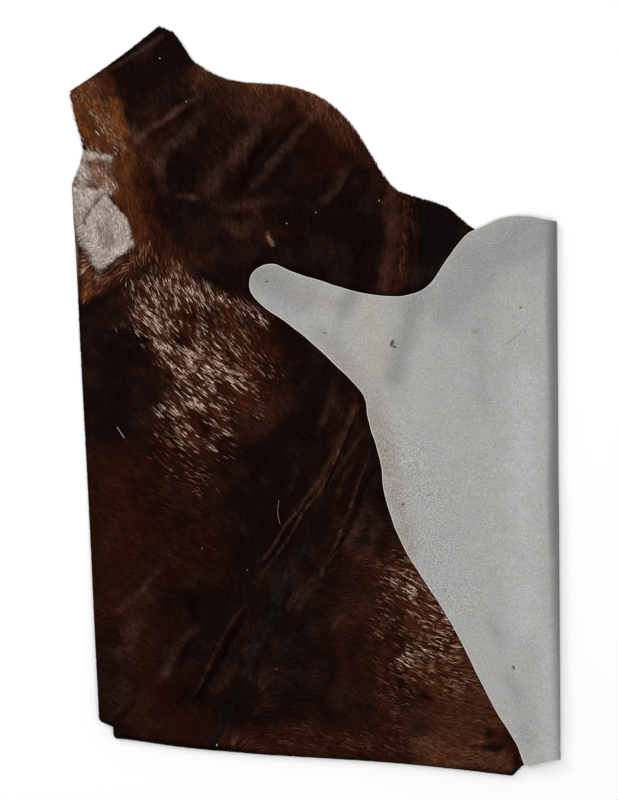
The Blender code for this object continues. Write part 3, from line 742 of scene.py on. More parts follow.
class StudioSettings(bpy.types.PropertyGroup):
    """The floor, the lights and the camera."""

    floor: colour_property("Floor", "The plain floor", (0.94, 0.94, 0.94))
    floor_size: length_property("Floor size", "Side of the floor", 9.0)
    camera_height: length_property("Camera height", "Height of the lens over the floor", 4.0)
    view_height: length_property("View height", "What the picture takes in, top to bottom", 1.76)
    overhead: power_property("Overhead", "Power of the large lamp", 170.0)
    side: power_property("Side", "Power of the side lamp", 55.0)
    sky: bpy.props.FloatProperty(
        name="Sky", description="Strength of the light from all round", default=0.40, min=0.0
    )


# ---------------------------------------------------------------- the map from open to folded


def unit(ways):
    """The ways, each made 1 long."""
    return ways / np.linalg.norm(ways, axis=1)[:, None]


def smooth_step(amount):
    """0 at 0 and below, 1 at 1 and above, level at both ends."""
    amount = np.clip(amount, 0.0, 1.0)
    return amount * amount * (3.0 - 2.0 * amount)


def axis_of(fold):
    """The fold's axis, a bend and half a thickness inside its visible edge: (point, outward)."""
    start = np.array(fold.start)
    way = np.array(fold.end) - start
    way /= np.linalg.norm(way)
    outward = np.array([way[1], -way[0]])
    return start - (fold.bend + THICKNESS / 2) * outward, outward


def past(points, fold):
    """How far each point lies past the fold's axis."""
    point, outward = axis_of(fold)
    return (points - point) @ outward


def unfolded(points, fold):
    """Where on the open sheet the layer folded at this axis comes from."""
    outward = axis_of(fold)[1]
    inside = -past(points, fold)
    return points + np.outer(2.0 * inside + np.pi * fold.bend, outward)


def hide_outline(step):
    """The open hide's outline on the floor: a smooth curve through its landmarks."""
    left, right = np.array(LEFT_SIDE) / 1000.0, np.array(RIGHT_SIDE) / 1000.0 * (-1.0, 1.0)
    loop = np.concatenate([left, right[::-1]])
    marks = TAIL_ROOT + np.outer(loop[:, 0], ACROSS) + np.outer(loop[:, 1], ALONG)
    points = []
    for a, b, c, d in zip(*(np.roll(marks, shift, 0) for shift in (1, 0, -1, -2))):
        t1 = np.sqrt(np.linalg.norm(b - a))
        t2 = t1 + np.sqrt(np.linalg.norm(c - b))
        t3 = t2 + np.sqrt(np.linalg.norm(d - c))
        pieces = max(1, round(np.linalg.norm(c - b) / step))
        for t in np.linspace(t1, t2, pieces, endpoint=False):
            ab = (a * (t1 - t) + b * t) / t1
            bc = (b * (t2 - t) + c * (t - t1)) / (t2 - t1)
            cd = (c * (t3 - t) + d * (t - t2)) / (t3 - t2)
            abc = (ab * (t2 - t) + bc * t) / t2
            bcd = (bc * (t3 - t) + cd * (t - t1)) / (t3 - t1)
            points.append((abc * (t2 - t) + bcd * (t - t1)) / (t2 - t1))
    return np.array(points)


def edge_distance(points, outline):
    """How far each point lies from the outline, below 0 inside it."""
    ends = np.roll(outline, -1, axis=0)
    way = ends - outline
    reach = points[:, None, :] - outline[None, :, :]
    share = np.clip((reach * way).sum(2) / (way * way).sum(1), 0.0, 1.0)
    away = np.linalg.norm(reach - share[:, :, None] * way, axis=2).min(1)
    spans = (outline[:, 1] > points[:, 1:]) != (ends[:, 1] > points[:, 1:])
    rise = np.where(way[:, 1] == 0.0, 1.0, way[:, 1])
    crossing = outline[:, 0] + reach[:, :, 1] * way[:, 0] / rise
    inside = (spans & (points[:, :1] < crossing)).sum(1) % 2 == 1
    return np.where(inside, -away, away)


def under(away):
    """1 over a lower layer and near its edge, sinking to 0 further out."""
    return 1.0 - smooth_step((away - LEVEL_REACH) / SINK_REACH)


def near(points, fold, reach):
    """1 at the fold's axis, falling to 0 a reach inside it."""
    return 1.0 - smooth_step(-past(points, fold) / reach)


def broad_wrinkles(points):
    """The height of the solid's soft wrinkles."""
    height = np.zeros(len(points))
    for start, end, width, top in in_metres(BROAD_WRINKLES):
        way = np.array(end) - start
        share = (points - start) @ way / (way @ way)
        side = np.abs((points - start) @ np.array([-way[1], way[0]])) / np.linalg.norm(way)
        along = np.sin(np.pi * np.clip(share, 0.0, 1.0)) ** WRINKLE_BLUNTNESS
        height = np.maximum(height, top * along * (1.0 - smooth_step(side / width)))
    return height


def layer_heights(points):
    """The heights of the ranks 0 to 4 over each place on the floor, as five columns."""
    front = unfolded(points, FRONT_FOLD)
    wings = unfolded(front, LEFT_FOLD), unfolded(points, LEFT_FOLD), unfolded(points, LEG_FOLD)
    edge = [edge_distance(spots, OUTLINE) for spots in (front, *wings, points)]
    over_front = under(np.maximum(edge[0], past(front, LEFT_FOLD)))
    over_front_wing = under(np.maximum(edge[1], past(front, LEFT_FOLD)))
    over_wing = np.maximum(under(np.maximum(edge[2], points[:, 1] - FLANK_TOP)), under(edge[3]))
    over_back = under(edge[4])

    tight_rise = 2.0 * TIGHT_BEND - LAYER_STEP
    wing_near = np.maximum(*(near(points, fold, FRONT_SETTLE) for fold in (LEFT_FOLD, LEG_FOLD)))
    stack = LAYER_STEP * (over_front + over_front_wing + over_wing)
    front_rise = np.maximum(0.0, 2.0 * FRONT_BEND - stack) * near(points, FRONT_FOLD, FRONT_SETTLE)
    flap_rise = (2.0 * FLAP_BEND - LAYER_STEP) * near(points, FLAP_FOLD, FLAP_SETTLE)

    floor = np.full(len(points), THICKNESS / 2)
    front_near = near(front, LEFT_FOLD, FRONT_SETTLE)
    first = floor + LAYER_STEP * over_front + tight_rise * front_near * over_front
    second = first + LAYER_STEP * over_front_wing + front_rise + BEND_LIFT * wing_near
    edge_fade = 1.0 - near(points, FRONT_FOLD, FRONT_SETTLE)
    wrinkles = broad_wrinkles(points) * edge_fade
    third = second + LAYER_STEP * over_wing + tight_rise * wing_near + wrinkles
    fourth = third + LAYER_STEP * over_back + flap_rise
    return np.stack([floor, first, second, third, fourth], axis=1)


# Values worked out once over a grid of places, and read back between them
Table = namedtuple("Table", "corner pitch values")


def floor_grid(pitch, high):
    """Places on the floor, a pitch apart: (places, how many across and along)."""
    across, along = (np.arange(FLOOR_LOW[i], high[i], pitch) for i in (0, 1))
    places = np.stack(np.meshgrid(across, along, indexing="ij"), axis=-1).reshape(-1, 2)
    return places, (len(across), len(along))


def table_of(work, pitch):
    places, counts = floor_grid(pitch, FLOOR_HIGH + pitch)
    values = np.concatenate([work(part) for part in np.array_split(places, CHUNKS)])
    return Table(FLOOR_LOW, pitch, values.reshape(*counts, -1))


def read(table, places):
    spot = (places - table.corner) / table.pitch
    spot = np.clip(spot, 0.0, np.array(table.values.shape[:2]) - 1.001)
    i, j = spot.astype(int).T
    s, t = (spot - np.floor(spot)).T[:, :, None]
    values = table.values
    near_side = values[i, j] * (1.0 - t) + values[i, j + 1] * t
    far_side = values[i + 1, j] * (1.0 - t) + values[i + 1, j + 1] * t
    return near_side * (1.0 - s) + far_side * s


def soft_noise(places, size, seed):
    """Smooth bumps from -1 to 1, each about size across."""
    lattice = np.random.default_rng(seed).uniform(-1.0, 1.0, (LATTICE, LATTICE))
    spot = places / size
    i, j = np.floor(spot).astype(int).T % LATTICE
    s, t = smooth_step(spot - np.floor(spot)).T
    k, m = (i + 1) % LATTICE, (j + 1) % LATTICE
    near_side = lattice[i, j] * (1 - s) + lattice[k, j] * s
    far_side = lattice[i, m] * (1 - s) + lattice[k, m] * s
    return near_side * (1 - t) + far_side * t


def rounded(path):
    """The path with its corners cut off twice."""
    points = np.array(path, float)
    for _ in range(2):
        if len(points) > 2:
            first, last = points[:-1], points[1:]
            pairs = np.stack([first * 0.75 + last * 0.25, first * 0.25 + last * 0.75], axis=1)
            points = np.concatenate([points[:1], pairs.reshape(-1, 2), points[-1:]])
    return points


def along_path(places, path):
    """How far each place is from the path, and where along it, from 0 to 1."""
    away = np.full(len(places), np.inf)
    share = np.zeros(len(places))
    ways = np.diff(path, axis=0)
    lengths = np.linalg.norm(ways, axis=1)
    gone = 0.0
    for corner, way, length in zip(path, ways, lengths):
        spot = np.clip((places - corner) @ way / length ** 2, 0.0, 1.0)
        distance = np.linalg.norm(places - corner - np.outer(spot, way), axis=1)
        nearer = distance < away
        away[nearer] = distance[nearer]
        share[nearer] = (gone + spot[nearer] * length) / lengths.sum()
        gone += length
    return away, share


def close_to(places, path, reach):
    """The numbers of the places near a path."""
    inside = (places > path.min(0) - reach) & (places < path.max(0) + reach)
    return np.flatnonzero(inside.all(1))


def relief_width(crease):
    """Half the width of the crease's relief, which is softer than its sheen."""
    return RELIEF_SPREAD * crease.width + RELIEF_MARGIN


def rounded_off(share):
    """1 in the middle of a ridge, falling softly to 0 at its foot."""
    return np.clip(1.0 - share ** 2, 0.0, 1.0) ** 2


def crease_marks(places):
    """The creases' height and their painted sheen, highlight on ridges and shade in troughs, as two
    columns.
    """
    marks = np.zeros((len(places), 2))
    for number, crease in enumerate(CREASES):
        path = rounded(crease.path)
        reach = relief_width(crease)
        close = close_to(places, path, reach)
        if not len(close):
            continue
        spots = places[close]
        away, share = along_path(spots, path)
        uneven = 1.0 + CREASE_UNEVEN * soft_noise(spots, UNEVEN_SIZE, CREASE_SEED + number)
        taper = np.sin(np.pi * (CREASE_START + CREASE_RUN * share)) ** 0.5
        marks[close, 0] += crease.height * taper * rounded_off(away / reach)
        cross = rounded_off(away / (crease.width * uneven))
        patchy = soft_noise(spots, SHEEN_SIZE + crease.width, SHEEN_SEED + number)
        patchy = np.clip(1.0 + SHEEN_UNEVEN * patchy, *PATCHY_SHEEN)
        marks[close, 1] += crease.sheen * cross * taper * uneven * patchy
    for column, swells in enumerate((SWELLS, SHEEN_SWELLS)):
        marks[:, column] += sum(amount * soft_noise(places, *swell) for amount, *swell in swells)
    marks[:, 0] *= 1.0 - near(places, FRONT_FOLD, FRONT_FADE)
    return marks


def fold_points(points, fold):
    """Turns what lies past the axis back over it: (place under the bend, turn from 0 to pi)."""
    outward = axis_of(fold)[1]
    beyond = past(points, fold)
    if fold is LEFT_FOLD:
        beyond = np.where(points[:, 1] < LEG_WAIST, beyond, 0.0)
    turn = np.clip(beyond / fold.bend, 0.0, np.pi)
    back = np.maximum(beyond, 0.0) + np.maximum(beyond - np.pi * fold.bend, 0.0)
    return points - np.outer(back, outward), turn


def share_along(points, fold):
    start = np.array(fold.start)
    way = np.array(fold.end) - start
    return np.clip((points - start) @ way / (way @ way), 0.0, 1.0)


def stray(points):
    """How far the folded layers are pushed sideways, which makes the folds' edges uneven."""
    wave = FRONT_WAVE * np.sin(2.0 * np.pi * share_along(points, FRONT_FOLD))
    push = np.outer(wave * near(points, FRONT_FOLD, WAVE_REACH), axis_of(FRONT_FOLD)[1])
    sag = LEG_SAG * np.sin(np.pi * share_along(points, LEG_FOLD))
    push -= np.outer(sag * near(points, LEG_FOLD, WAVE_REACH), axis_of(LEG_FOLD)[1])
    below = smooth_step((NOTCH_TOP - points[:, 1]) / (NOTCH_TOP - NOTCH_BOTTOM))
    push[:, 0] += NOTCH_PUSH * below * near(points, LEFT_FOLD, NOTCH_REACH)
    return push


def turned_with_edge(bulge, points):
    """Turns each bend's bulge, so that it stays square to its edge where the edge strays."""
    base = stray(points)
    by_x = (stray(points + (STRAY_STEP, 0.0)) - base) / STRAY_STEP
    by_y = (stray(points + (0.0, STRAY_STEP)) - base) / STRAY_STEP
    turned = np.stack([
        (1.0 + by_y[:, 1]) * bulge[:, 0] - by_x[:, 1] * bulge[:, 1],
        (1.0 + by_x[:, 0]) * bulge[:, 1] - by_y[:, 0] * bulge[:, 0],
    ], axis=1)
    length = np.maximum(np.linalg.norm(turned, axis=1), 1e-12)
    return turned * (np.linalg.norm(bulge, axis=1) / length)[:, None]


def height_at(heights, rank):
    """The height at a rank between whole ones, as in a bend."""
    rank = np.clip(rank, 0.0, 4.0)
    lower = np.minimum(rank.astype(int), 3)
    row = np.arange(len(rank))
    share = rank - lower
    return heights[row, lower] * (1.0 - share) + heights[row, lower + 1] * share


def folded(points, relief):
    """Maps places on the open hide to places in the folded one: (places, ranks)."""
    place = points.copy()
    bulge = np.zeros_like(points)
    rank = np.full(len(points), 3.0)
    for fold, step in ((LEFT_FOLD, -1.0), (LEG_FOLD, -1.0), (FLAP_FOLD, 1.0)):
        place, turn = fold_points(place, fold)
        bulge += np.outer(fold.bend * np.sin(turn), axis_of(fold)[1])
        rank += step * (1.0 - np.cos(turn)) / 2

    place, turn = fold_points(place, FRONT_FOLD)
    outward = axis_of(FRONT_FOLD)[1]
    bulge += np.outer((np.cos(turn) - 1.0) * (bulge @ outward), outward)
    bulge += np.outer((FRONT_BEND - LAYER_STEP * (3.0 - rank)) * np.sin(turn), outward)

    heights = read(HEIGHTS, place)
    bumps = np.maximum(relief * read(MARKS, place)[:, 0], -CREASE_DEPTH)
    heights[:, 3] = np.maximum(heights[:, 3] + bumps, heights[:, 0])
    heights[:, 4] = np.maximum(heights[:, 4] + bumps, heights[:, 0])
    above = height_at(heights, rank)
    below = height_at(heights, 3.0 - rank)
    height = (above + below) / 2 + (above - below) / 2 * np.cos(turn)
    return np.column_stack([place + stray(place) + turned_with_edge(bulge, place), height]), rank


def edge_distances(places):
    """How far each place is outside the open hide, and outside the flap that lies over it."""
    layers = places, unfolded(places, FLAP_FOLD)
    return np.stack([edge_distance(layer, OUTLINE) for layer in layers], axis=1)


OUTLINE = hide_outline(OUTLINE_STEP)
HEIGHTS = table_of(layer_heights, HEIGHT_PITCH)
EDGES = table_of(edge_distances, EDGE_PITCH)
MARKS = table_of(crease_marks, LOOK_PITCH)


# ---------------------------------------------------------------- the coat's look over the floor


def patch_weight(places, patch, seed, stray):
    """How much of each place a patch covers, with an uneven edge: (numbers of places, weights)."""
    path = np.array(patch.path)
    reach = (patch.reach or 0.0) + patch.soft
    close = close_to(places, path, reach + STRAY_MARGIN)
    if not len(close):
        return close, np.zeros(0)
    spots = places[close]
    if patch.reach is None:
        away = edge_distance(spots, path)
    else:
        away = along_path(spots, rounded(path))[0] - patch.reach
    uneven = soft_noise(spots, STRAY_SIZE * patch.soft + STRAY_LEAST, seed)
    away = away + stray * patch.soft * uneven
    return close, 1.0 - smooth_step(away / patch.soft + 0.5)


def coat_row(colours, dark, pale, share):
    return np.array([*getattr(colours, dark), *getattr(colours, pale), share])


def coat_look(places, colours):
    """For each place: the dark hairs' colour, the pale hairs' colour, and the pale hairs' share."""
    rows = np.tile(coat_row(colours, *BASE_COAT), (len(places), 1))
    for number, patch in enumerate(COAT_PATCHES):
        close, weight = patch_weight(places, patch, PATCH_SEED + number, PATCH_STRAY)
        row = coat_row(colours, patch.dark, patch.pale, patch.share)
        rows[close] += (row - rows[close]) * weight[:, None]
    return rows[:, :3], rows[:, 3:6], rows[:, 6]


def suede_look(places, settings):
    """The suede's colour at each place, with soft bands."""
    rows = np.tile(np.array(settings.suede), (len(places), 1))
    for number, tint in enumerate(SUEDE_TINTS):
        close, weight = patch_weight(places, tint, TINT_SEED + number, TINT_STRAY)
        rows[close] += (np.array(getattr(settings, tint.colour)) - rows[close]) * weight[:, None]
    return rows


def with_painted_sheen(colour, sheen, glow):
    """Colours in a crease with painted sheen: a painted highlight on a ridge, painted shade in a
    trough.
    """
    darker = colour * (1.0 + np.clip(sheen, DARKEST_TROUGH, 0.0))[:, None]
    return darker + np.clip(sheen, 0.0, 1.0)[:, None] * np.array(glow) * GLOW_SHARE


def lay_of(places):
    """The way the hair lies, as a unit vector from root to tip."""
    total = np.zeros((len(places), 2))
    for lay in LAYS:
        angle = np.radians(lay.heading)
        weight = ((places - (lay.x, lay.y)) ** 2).sum(1) + LAY_BLUR ** 2
        total += np.outer(weight ** -2.0, (np.cos(angle), np.sin(angle)))
    return unit(total)


# ---------------------------------------------------------------- the sheet's mesh


def cut(bm, point, outward, snap, faces):
    """Cuts these faces along a line on the floor."""
    edges = {edge for face in faces for edge in face.edges}
    verts = {vert for face in faces for vert in face.verts}
    bmesh.ops.bisect_plane(
        bm,
        geom=list(faces) + list(edges) + list(verts),
        dist=snap,
        plane_co=Vector((*point, 0.0)),
        plane_no=Vector((*outward, 0.0)),
    )


def centres_of(faces):
    return np.array([face.calc_center_median()[:2] for face in faces]).reshape(-1, 2)


def layers_of(centres):
    """The rank of the layer that each face ends up in, from 0 to 3."""
    place, side_turn = fold_points(centres, LEFT_FOLD)
    front_turn = fold_points(place, FRONT_FOLD)[1]
    rank = np.where(side_turn > np.pi / 2, 2, 3)
    return np.where(front_turn > np.pi / 2, 3 - rank, rank)


def in_layers(bm, *ranks):
    faces = list(bm.faces)
    return [face for face, rank in zip(faces, layers_of(centres_of(faces))) if rank in ranks]


def mirrored(point, outward, fold):
    """A line on what is folded at this axis, taken back to the open sheet."""
    spots = unfolded(np.array([point, point + np.array([-outward[1], outward[0]])]), fold)
    way = spots[1] - spots[0]
    return spots[0], np.array([way[1], -way[0]])


def bend_lines(fold, strips):
    point, outward = axis_of(fold)
    return [(point + np.pi * fold.bend * i / strips * outward, outward) for i in range(strips + 1)]


def cut_folds(bm):
    """Cuts the sheet where it bends, and along the notch in its lower left corner."""
    cut(bm, (0.0, LEG_WAIST), (0.0, 1.0), EXACT, list(bm.faces))
    for line in bend_lines(LEFT_FOLD, TIGHT_STRIPS):
        below = [face for face in bm.faces if face.calc_center_median().y < LEG_WAIST]
        cut(bm, *line, EXACT, below)
    for line in bend_lines(LEG_FOLD, TIGHT_STRIPS) + bend_lines(FLAP_FOLD, WIDE_STRIPS):
        cut(bm, *line, EXACT, list(bm.faces))
    for line in bend_lines(FRONT_FOLD, WIDE_STRIPS):
        cut(bm, *line, EXACT, in_layers(bm, 0, 3))
        cut(bm, *mirrored(*line, LEFT_FOLD), EXACT, in_layers(bm, 1, 2))
    for height in np.linspace(NOTCH_TOP, NOTCH_BOTTOM, NOTCH_CUTS):
        line = (np.array([0.0, height]), np.array([0.0, 1.0]))
        front_line = mirrored(*line, FRONT_FOLD)
        cut(bm, *line, EXACT, in_layers(bm, 3))
        cut(bm, *mirrored(*line, LEFT_FOLD), EXACT, in_layers(bm, 2))
        cut(bm, *front_line, EXACT, in_layers(bm, 0))
        cut(bm, *mirrored(*front_line, LEFT_FOLD), EXACT, in_layers(bm, 1))


def shows(places):
    """Whether each place of the open hide can be seen once it is folded."""
    place = places
    bending = np.zeros(len(places), bool)
    turns = []
    for fold in (LEFT_FOLD, LEG_FOLD, FLAP_FOLD, FRONT_FOLD):
        place, turn = fold_points(place, fold)
        bending |= (turn > 0.0) & (turn < np.pi)
        turns.append(turn)
    left, leg, flap, front = turns
    kept = (left == 0.0) & (leg == 0.0) & (front == 0.0)
    covered = read(EDGES, place)[:, 1] < -SEAM_MARGIN
    return bending | (kept & (flap == 0.0) & ~covered) | (kept & (flap >= np.pi))


def in_narrow_crease(centres):
    """Whether a face lies in one of the narrow creases."""
    close = np.zeros(len(centres), bool)
    for crease in CREASES:
        if crease.width < NARROW_CREASE:
            path = np.array(crease.path)
            spots = close_to(centres, path, relief_width(crease))
            if len(spots):
                close[spots] |= along_path(centres[spots], path)[0] < relief_width(crease)
    return close


def pick(faces, wanted):
    """The faces that wanted() picks by their centres, leaving out the border."""
    picked = zip(faces, wanted(centres_of(faces)))
    return [face for face, good in picked if good and face.material_index == COAT_SLOT]


def cut_grid(bm, outline, offset, wanted):
    """Cuts the sheet into a grid along and across the spine."""
    for way in (ALONG, ACROSS):
        reach = (outline - TAIL_ROOT) @ way / GRID
        for i in range(int(np.floor(reach.min())), int(np.ceil(reach.max())) + 1):
            cut(bm, TAIL_ROOT + (i + offset) * GRID * way, way, SNAP, wanted(bm))


def make_triangles(bm):
    bmesh.ops.triangulate(bm, faces=bm.faces[:], quad_method="BEAUTY", ngon_method="BEAUTY")


def refine(bm, wanted, cuts):
    """Divides the edges of the faces that wanted() picks, and makes everything triangles."""
    edges = list({edge for face in pick(list(bm.faces), wanted) for edge in face.edges})
    bmesh.ops.subdivide_edges(bm, edges=edges, cuts=cuts, use_grid_fill=True)
    make_triangles(bm)


def open_sheet(unevenness):
    """The open hide as a flat sheet of triangles, coat side up, with a border along its edge."""
    outline = hide_outline(EDGE_STEP)
    wander = [soft_noise(outline, EDGE_WANDER, seed) for seed in EDGE_SEEDS]
    outline = outline + unevenness * np.stack(wander, axis=1)
    bm = bmesh.new()
    face = bm.faces.new([bm.verts.new((*point, 0.0)) for point in outline])
    face.normal_update()
    if face.normal.z < 0.0:
        face.normal_flip()
    border = bmesh.ops.inset_region(
        bm, faces=[face], thickness=BORDER, use_boundary=True, use_even_offset=True
    )
    for face in border["faces"]:
        face.material_index = BORDER_SLOT
    cut_folds(bm)
    cut_grid(bm, outline, 0.0, lambda bm: list(bm.faces))
    marker = bm.faces.layers.int.new("seen")
    faces = list(bm.faces)
    for face, seen in zip(faces, shows(centres_of(faces))):
        face[marker] = int(seen)
    cut_grid(bm, outline, 0.5, lambda bm: [face for face in bm.faces if face[marker]])
    bmesh.ops.remove_doubles(bm, verts=bm.verts[:], dist=MERGE)
    make_triangles(bm)
    refine(bm, shows, FINE_CUTS)
    refine(bm, lambda centres: in_narrow_crease(centres) & shows(centres), 1)
    bm.faces.layers.int.remove(bm.faces.layers.int["seen"])
    return bm


def write_attribute(mesh, name, values):
    """Stores a vector or a colour for each point of the mesh."""
    kind, field = ("FLOAT_VECTOR", "vector") if values.shape[1] == 3 else ("FLOAT_COLOR", "color")
    data = mesh.attributes.new(name, kind, "POINT").data
    data.foreach_set(field, values.astype(np.float32).ravel())


def opaque(colours):
    return np.column_stack([np.clip(colours, 0.0, 1.0), np.ones(len(colours))])


def stored(items, name, kind, width=1):
    """One value, or a few, of each item of a mesh, as one flat array."""
    values = np.zeros(len(items) * width, kind)
    items.foreach_get(name, values)
    return values


def write_uv(mesh, spots):
    """Stores a place on the picture plane for each corner of the mesh's faces."""
    data = mesh.uv_layers.new(name="UVMap").data
    data.foreach_set("uv", spots.astype(np.float32).ravel())


def spread_out(mesh):
    """Lays each side of the sheet and each face of its cut edge apart on the picture plane."""
    corner = stored(mesh.loops, "vertex_index", np.int32)
    flat = stored(mesh.attributes[PATTERN].data, "vector", np.float32, 3).reshape(-1, 3)[corner, :2]
    scale = SIDE_WIDTH / np.ptp(flat[:, 0])
    spots = (flat - flat.min(0)) * scale + PLANE_MARGIN
    names = ("material_index", "loop_start", "loop_total")
    slots, starts, totals = (stored(mesh.polygons, name, np.int32) for name in names)
    other_side = np.repeat(slots % 2 == 1, totals)
    spots[other_side, 0] += 0.5
    rim = np.flatnonzero(totals == 4)
    cell = EDGE_STEP * scale * CELL_PITCH
    a_row = int(CELLS_WIDTH / cell)
    square = CELL_FILL * cell * np.array([(0, 0), (1, 0), (1, 1), (0, 1)])
    for number, face in enumerate(rim):
        low = (PLANE_MARGIN + cell * (number % a_row), CELLS_LOW + cell * (number // a_row))
        spots[starts[face]:starts[face] + 4] = low + square
    write_uv(mesh, spots)


def solid_mesh(obj):
    """The object's mesh with its modifiers made real."""
    bpy.context.view_layer.update()
    graph = bpy.context.evaluated_depsgraph_get()
    mesh = bpy.data.meshes.new_from_object(
        obj.evaluated_get(graph), preserve_all_data_layers=True, depsgraph=graph
    )
    obj.modifiers.clear()
    obj.data = mesh
    return mesh


def mesh_from(bm, name):
    """The bmesh as a mesh of this name; the bmesh is done with."""
    mesh = bpy.data.meshes.new(name)
    bm.to_mesh(mesh)
    bm.free()
    return mesh


def add_object(name, data):
    """A new object in the scene."""
    obj = bpy.data.objects.new(name, data)
    bpy.context.scene.collection.objects.link(obj)
    return obj


def add_piece(name, mesh, materials):
    """A new piece that stays with the hide and takes its finish."""
    mesh.name = name
    for material in materials:
        mesh.materials.append(material)
    piece = add_object(name, mesh)
    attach(piece, "root")
    return piece


def middle_of(mesh):
    """How far the mesh's middle lies from the origin, sideways."""
    spots = stored(mesh.vertices, "co", np.float64, 3).reshape(-1, 3)
    return (spots.min(0) + spots.max(0))[:2] / 2


# ---------------------------------------------------------------- materials


def new_material(name, roughness, specular):
    """A material with a bare shader: (material, its node tree, shader)."""
    material = bpy.data.materials.new(name)
    material.use_nodes = True
    shader = material.node_tree.nodes["Principled BSDF"]
    shader.inputs["Roughness"].default_value = roughness
    shader.inputs["Specular IOR Level"].default_value = specular
    return material, material.node_tree, shader


def add_node(tree, kind, inputs, **settings):
    """A new node, with each input linked to the socket or set to the value that is given for it."""
    node = tree.nodes.new("ShaderNode" + kind)
    for name, value in settings.items():
        setattr(node, name, value)
    for name, value in inputs.items():
        if isinstance(value, bpy.types.NodeSocket):
            tree.links.new(value, node.inputs[name])
        else:
            node.inputs[name].default_value = value
    return node


def object_place(tree):
    return add_node(tree, "TexCoord", {}).outputs["Object"]


def noise(tree, size, detail=3.0, roughness=0.55):
    """A noise whose bumps are about this size, in metres, over the object."""
    inputs = {"Vector": object_place(tree), "Scale": 1.0 / size, "Detail": detail}
    return add_node(tree, "TexNoise", {**inputs, "Roughness": roughness}).outputs["Fac"]


def map_range(tree, value, source, target, **settings):
    """The value, mapped from the source range to the target range."""
    names = ("Value", "From Min", "From Max", "To Min", "To Max")
    inputs = dict(zip(names, (value, *source, *target)))
    return add_node(tree, "MapRange", inputs, **settings).outputs["Result"]


def spread(tree, value, low, high):
    """Stretches a noise's middle range to this range."""
    return map_range(tree, value, NOISE_MIDDLE, (low, high))


def times(tree, colour, factor):
    """The colour, brighter or darker by a factor that varies."""
    inputs = {0: colour, "Scale": factor}
    return add_node(tree, "VectorMath", inputs, operation="SCALE").outputs["Vector"]


def mixed(tree, factor, first, second):
    """A mix of two colours."""
    inputs = {"A": first, "B": second, "Factor": factor}
    return add_node(tree, "Mix", inputs, data_type="RGBA").outputs["Result"]


def stored_colour(tree, name):
    return add_node(tree, "Attribute", {}, attribute_name=name).outputs["Color"]


def add_bump(tree, shader, height, strength, distance):
    inputs = {"Height": height, "Strength": strength, "Distance": distance}
    tree.links.new(add_node(tree, "Bump", inputs).outputs["Normal"], shader.inputs["Normal"])


def mottled_material(name, roughness, specular, size, first, second):
    """A material that goes from one colour to the other in soft bumps of this size."""
    material, tree, shader = new_material(name, roughness, specular)
    mottle = spread(tree, noise(tree, size), 0.0, 1.0)
    tree.links.new(mixed(tree, mottle, (*first, 1.0), (*second, 1.0)), shader.inputs["Base Color"])
    return material


def underfur_material():
    """The skin side of the coat, seen between the locks."""
    material, tree, shader = new_material("underfur", roughness=0.75, specular=0.02)
    tone = times(tree, stored_colour(tree, COAT), spread(tree, noise(tree, FUR_SPECKS), 0.5, 1.0))
    tree.links.new(tone, shader.inputs["Base Color"])
    add_bump(tree, shader, noise(tree, FUR_BUMPS), strength=0.5, distance=0.0006)
    return material


def hair_material():
    """The locks, whose colour is stored in them from root to tip."""
    material, tree, shader = new_material("combed hair", roughness=0.55, specular=0.02)
    tree.links.new(stored_colour(tree, COAT), shader.inputs["Base Color"])
    return material


def suede_material():
    """The flesh side: brushed suede with a fine grain, coarser in places, and soft blotches."""
    material, tree, shader = new_material("grey suede", roughness=0.92, specular=0.05)
    shader.inputs["Sheen Weight"].default_value = 0.10
    shader.inputs["Sheen Roughness"].default_value = 0.6
    grain = noise(tree, GRAIN_SIZE, detail=2.0, roughness=0.7)
    grains = {"A": spread(tree, grain, *FINE_TONES), "B": spread(tree, grain, *COARSE_TONES)}
    strength = add_node(tree, "Mix", grains, name="coarseness")
    tone = times(tree, stored_colour(tree, SUEDE), strength.outputs["Result"])
    for size, low, high in BLOTCHES:
        tone = times(tree, tone, spread(tree, noise(tree, size, 2.0), low, high))
    share = spread(tree, noise(tree, WARMTH_SIZE, 2.0), 0.0, 1.0)
    warmth = add_node(tree, "Mix", {"A": WARM, "B": COOL, "Factor": share}, data_type="VECTOR")
    factors = {0: tone, 1: warmth.outputs["Result"]}
    tinted = add_node(tree, "VectorMath", factors, name="tone", operation="MULTIPLY")
    tree.links.new(tinted.outputs["Vector"], shader.inputs["Base Color"])
    add_bump(tree, shader, grain, strength=0.35, distance=0.0005)
    return material


def ellipse(tree, mark, middle, fade):
    """How much of the suede a mark covers: its strength inside the ellipse, falling to 0."""
    spot = add_node(tree, "Mapping", {
        "Vector": object_place(tree),
        "Location": (mark.x - middle[0], mark.y - middle[1], 0.0),
        "Rotation": (0.0, 0.0, np.radians(mark.turn)),
        "Scale": (0.5 * mark.length, 0.5 * mark.width, 1.0),
    }, vector_type="TEXTURE")
    away = add_node(tree, "VectorMath", {0: spot.outputs["Vector"]}, operation="LENGTH")
    cover = (mark.strength, 0.0)
    return map_range(tree, away.outputs["Value"], fade, cover, interpolation_type="SMOOTHSTEP")


def mark_suede(material, settings, middle):
    """Adds the scars, spots and scratches to the suede, and coarsens its grain at the waist."""
    tree = material.node_tree
    coarse = ellipse(tree, COARSE_GRAIN, middle, GRAIN_FADE)
    tree.links.new(coarse, tree.nodes["coarseness"].inputs["Factor"])
    tone = tree.nodes["tone"].outputs["Vector"]
    for mark in SUEDE_MARKS:
        colour = (*getattr(settings, mark.colour), 1.0)
        tone = mixed(tree, ellipse(tree, mark, middle, MARK_FADE), tone, colour)
    tree.links.new(tone, tree.nodes["Principled BSDF"].inputs["Base Color"])


def stored_middle():
    return np.array(bpy.data.objects["hide_leather"]["middle"])


